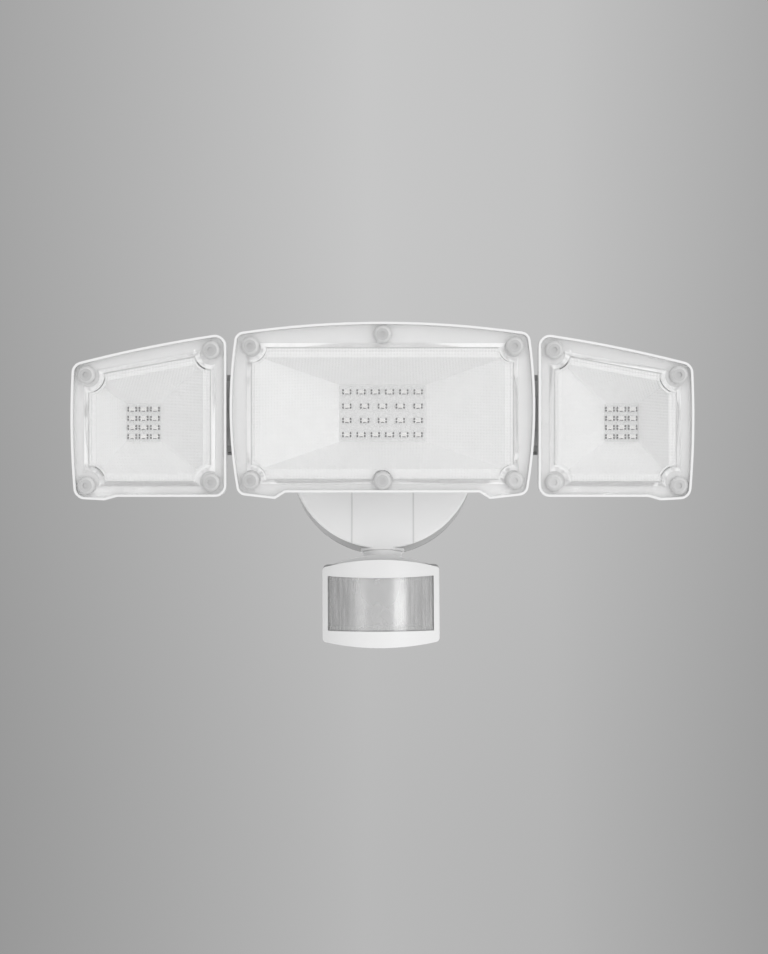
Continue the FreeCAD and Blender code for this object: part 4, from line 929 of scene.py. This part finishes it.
def backdrop():
    """Soft grey studio background where the camera looks, with painted light in it, and plain light
    for the rest.
    """
    world = bpy.data.worlds.new("studio")
    bpy.context.scene.world = world
    world.use_nodes = True
    recipe = Recipe(world.node_tree)
    across, deep, up = recipe.parts(recipe.node("ShaderNodeTexCoord", output="Generated"))
    # The background is painted lighter in a band down the middle and darker towards the bottom:
    # painted light.
    greys = ((0.0, 160), (0.27, 163), (0.49, 199), (0.60, 194), (0.75, 163), (1.0, 156))
    stops = [(position, grey(level)[0]) for position, level in greys]
    painted_light_bands = recipe.node("ShaderNodeValToRGB", {"stops": stops}, {0: across + 0.5})
    shade = up.spread(-0.1, 0.35, 0.84, 1.0)
    shading = recipe.node("ShaderNodeCombineXYZ", None, {0: shade, 1: shade, 2: shade})
    seen = recipe.vector("MULTIPLY", painted_light_bands, shading)
    direct = recipe.node("ShaderNodeLightPath", output="Is Camera Ray")
    through = recipe.node("ShaderNodeLightPath", output="Is Transmission Ray")
    # Most light comes from the front, a little to the right and below, and some from behind.
    front = across * 0.2 - deep * 0.9 - up * 0.3
    strength = front.spread(0.1, 1.0, 0.3, 1.45) + deep.spread(0.1, 1.0, 0.0, 0.6)
    lit = recipe.node("ShaderNodeBackground", None, {"Color": (1, 1, 1, 1), "Strength": strength})
    view = recipe.node("ShaderNodeBackground", None, {"Color": seen, "Strength": 1.0})
    recipe.finish(recipe.mix(direct.most(through), lit, view), "ShaderNodeOutputWorld")


def floor_paint(recipe):
    """Plain pale paint."""
    return recipe.surface(Base_Color=grey(238), Roughness=0.7)


def lay_floor():
    """A round pale floor, well below the light."""
    radius, low, count = 1.1, -1.1, 96
    mesh = bpy.data.meshes.new("floor")
    mesh.from_pydata(ring(radius, low, count), [], [range(count)])
    mesh.materials.append(material("floor", floor_paint))
    floor = added("floor", mesh)


def hang_lamp(name, place, aim, width, height, power):
    """A soft box that points from a place at an aim."""
    lamp = bpy.data.lights.new(name, "AREA")
    lamp.shape = "RECTANGLE"
    lamp.size = width
    lamp.size_y = height
    lamp.energy = power
    item = added(name, lamp)
    item.location = place
    item.rotation_euler = (Vector(aim) - Vector(place)).to_track_quat("-Z", "Y").to_euler()
    item.visible_camera = False


def stand_camera():
    """The photograph's view: from the front and a little below, tilted up."""
    lens = bpy.data.cameras.new("camera")
    lens.sensor_width = 36.0
    lens.lens = 62.9
    lens.clip_start = 0.05
    camera = added("camera", lens)
    camera.location = (0.0009, -1.040, -0.191)
    camera.rotation_euler = (UPRIGHT + REST_TILT, 0, 0)
    bpy.context.scene.camera = camera


dress_nodes()
for head in ("center", "left", "right"):
    dress_lamps(head)
    dress_screws(head)
    dress_pockets(head)
    dress_lip(head)
for head in ("left", "right"):
    lean(head, "reflector")
    lean(head, "leds")
dress_bolts()
dress_lens()
dress_tilt_screw()
dress_dials()
backdrop()
lay_floor()
hang_lamp("key_box", place=(0.5, -1.0, 1.1), aim=(0, -0.1, 0),
          width=0.7, height=0.6, power=3.2)
hang_lamp("right_strip", place=(0.147, -0.6, -0.172), aim=(0, -0.08, -0.095),
          width=0.13, height=0.075, power=0.14)
hang_lamp("left_strip", place=(-0.262, -0.6, -0.172), aim=(0, -0.08, -0.095),
          width=0.13, height=0.085, power=0.05)
stand_camera()
bpy.context.scene.view_settings.view_transform = "Standard"
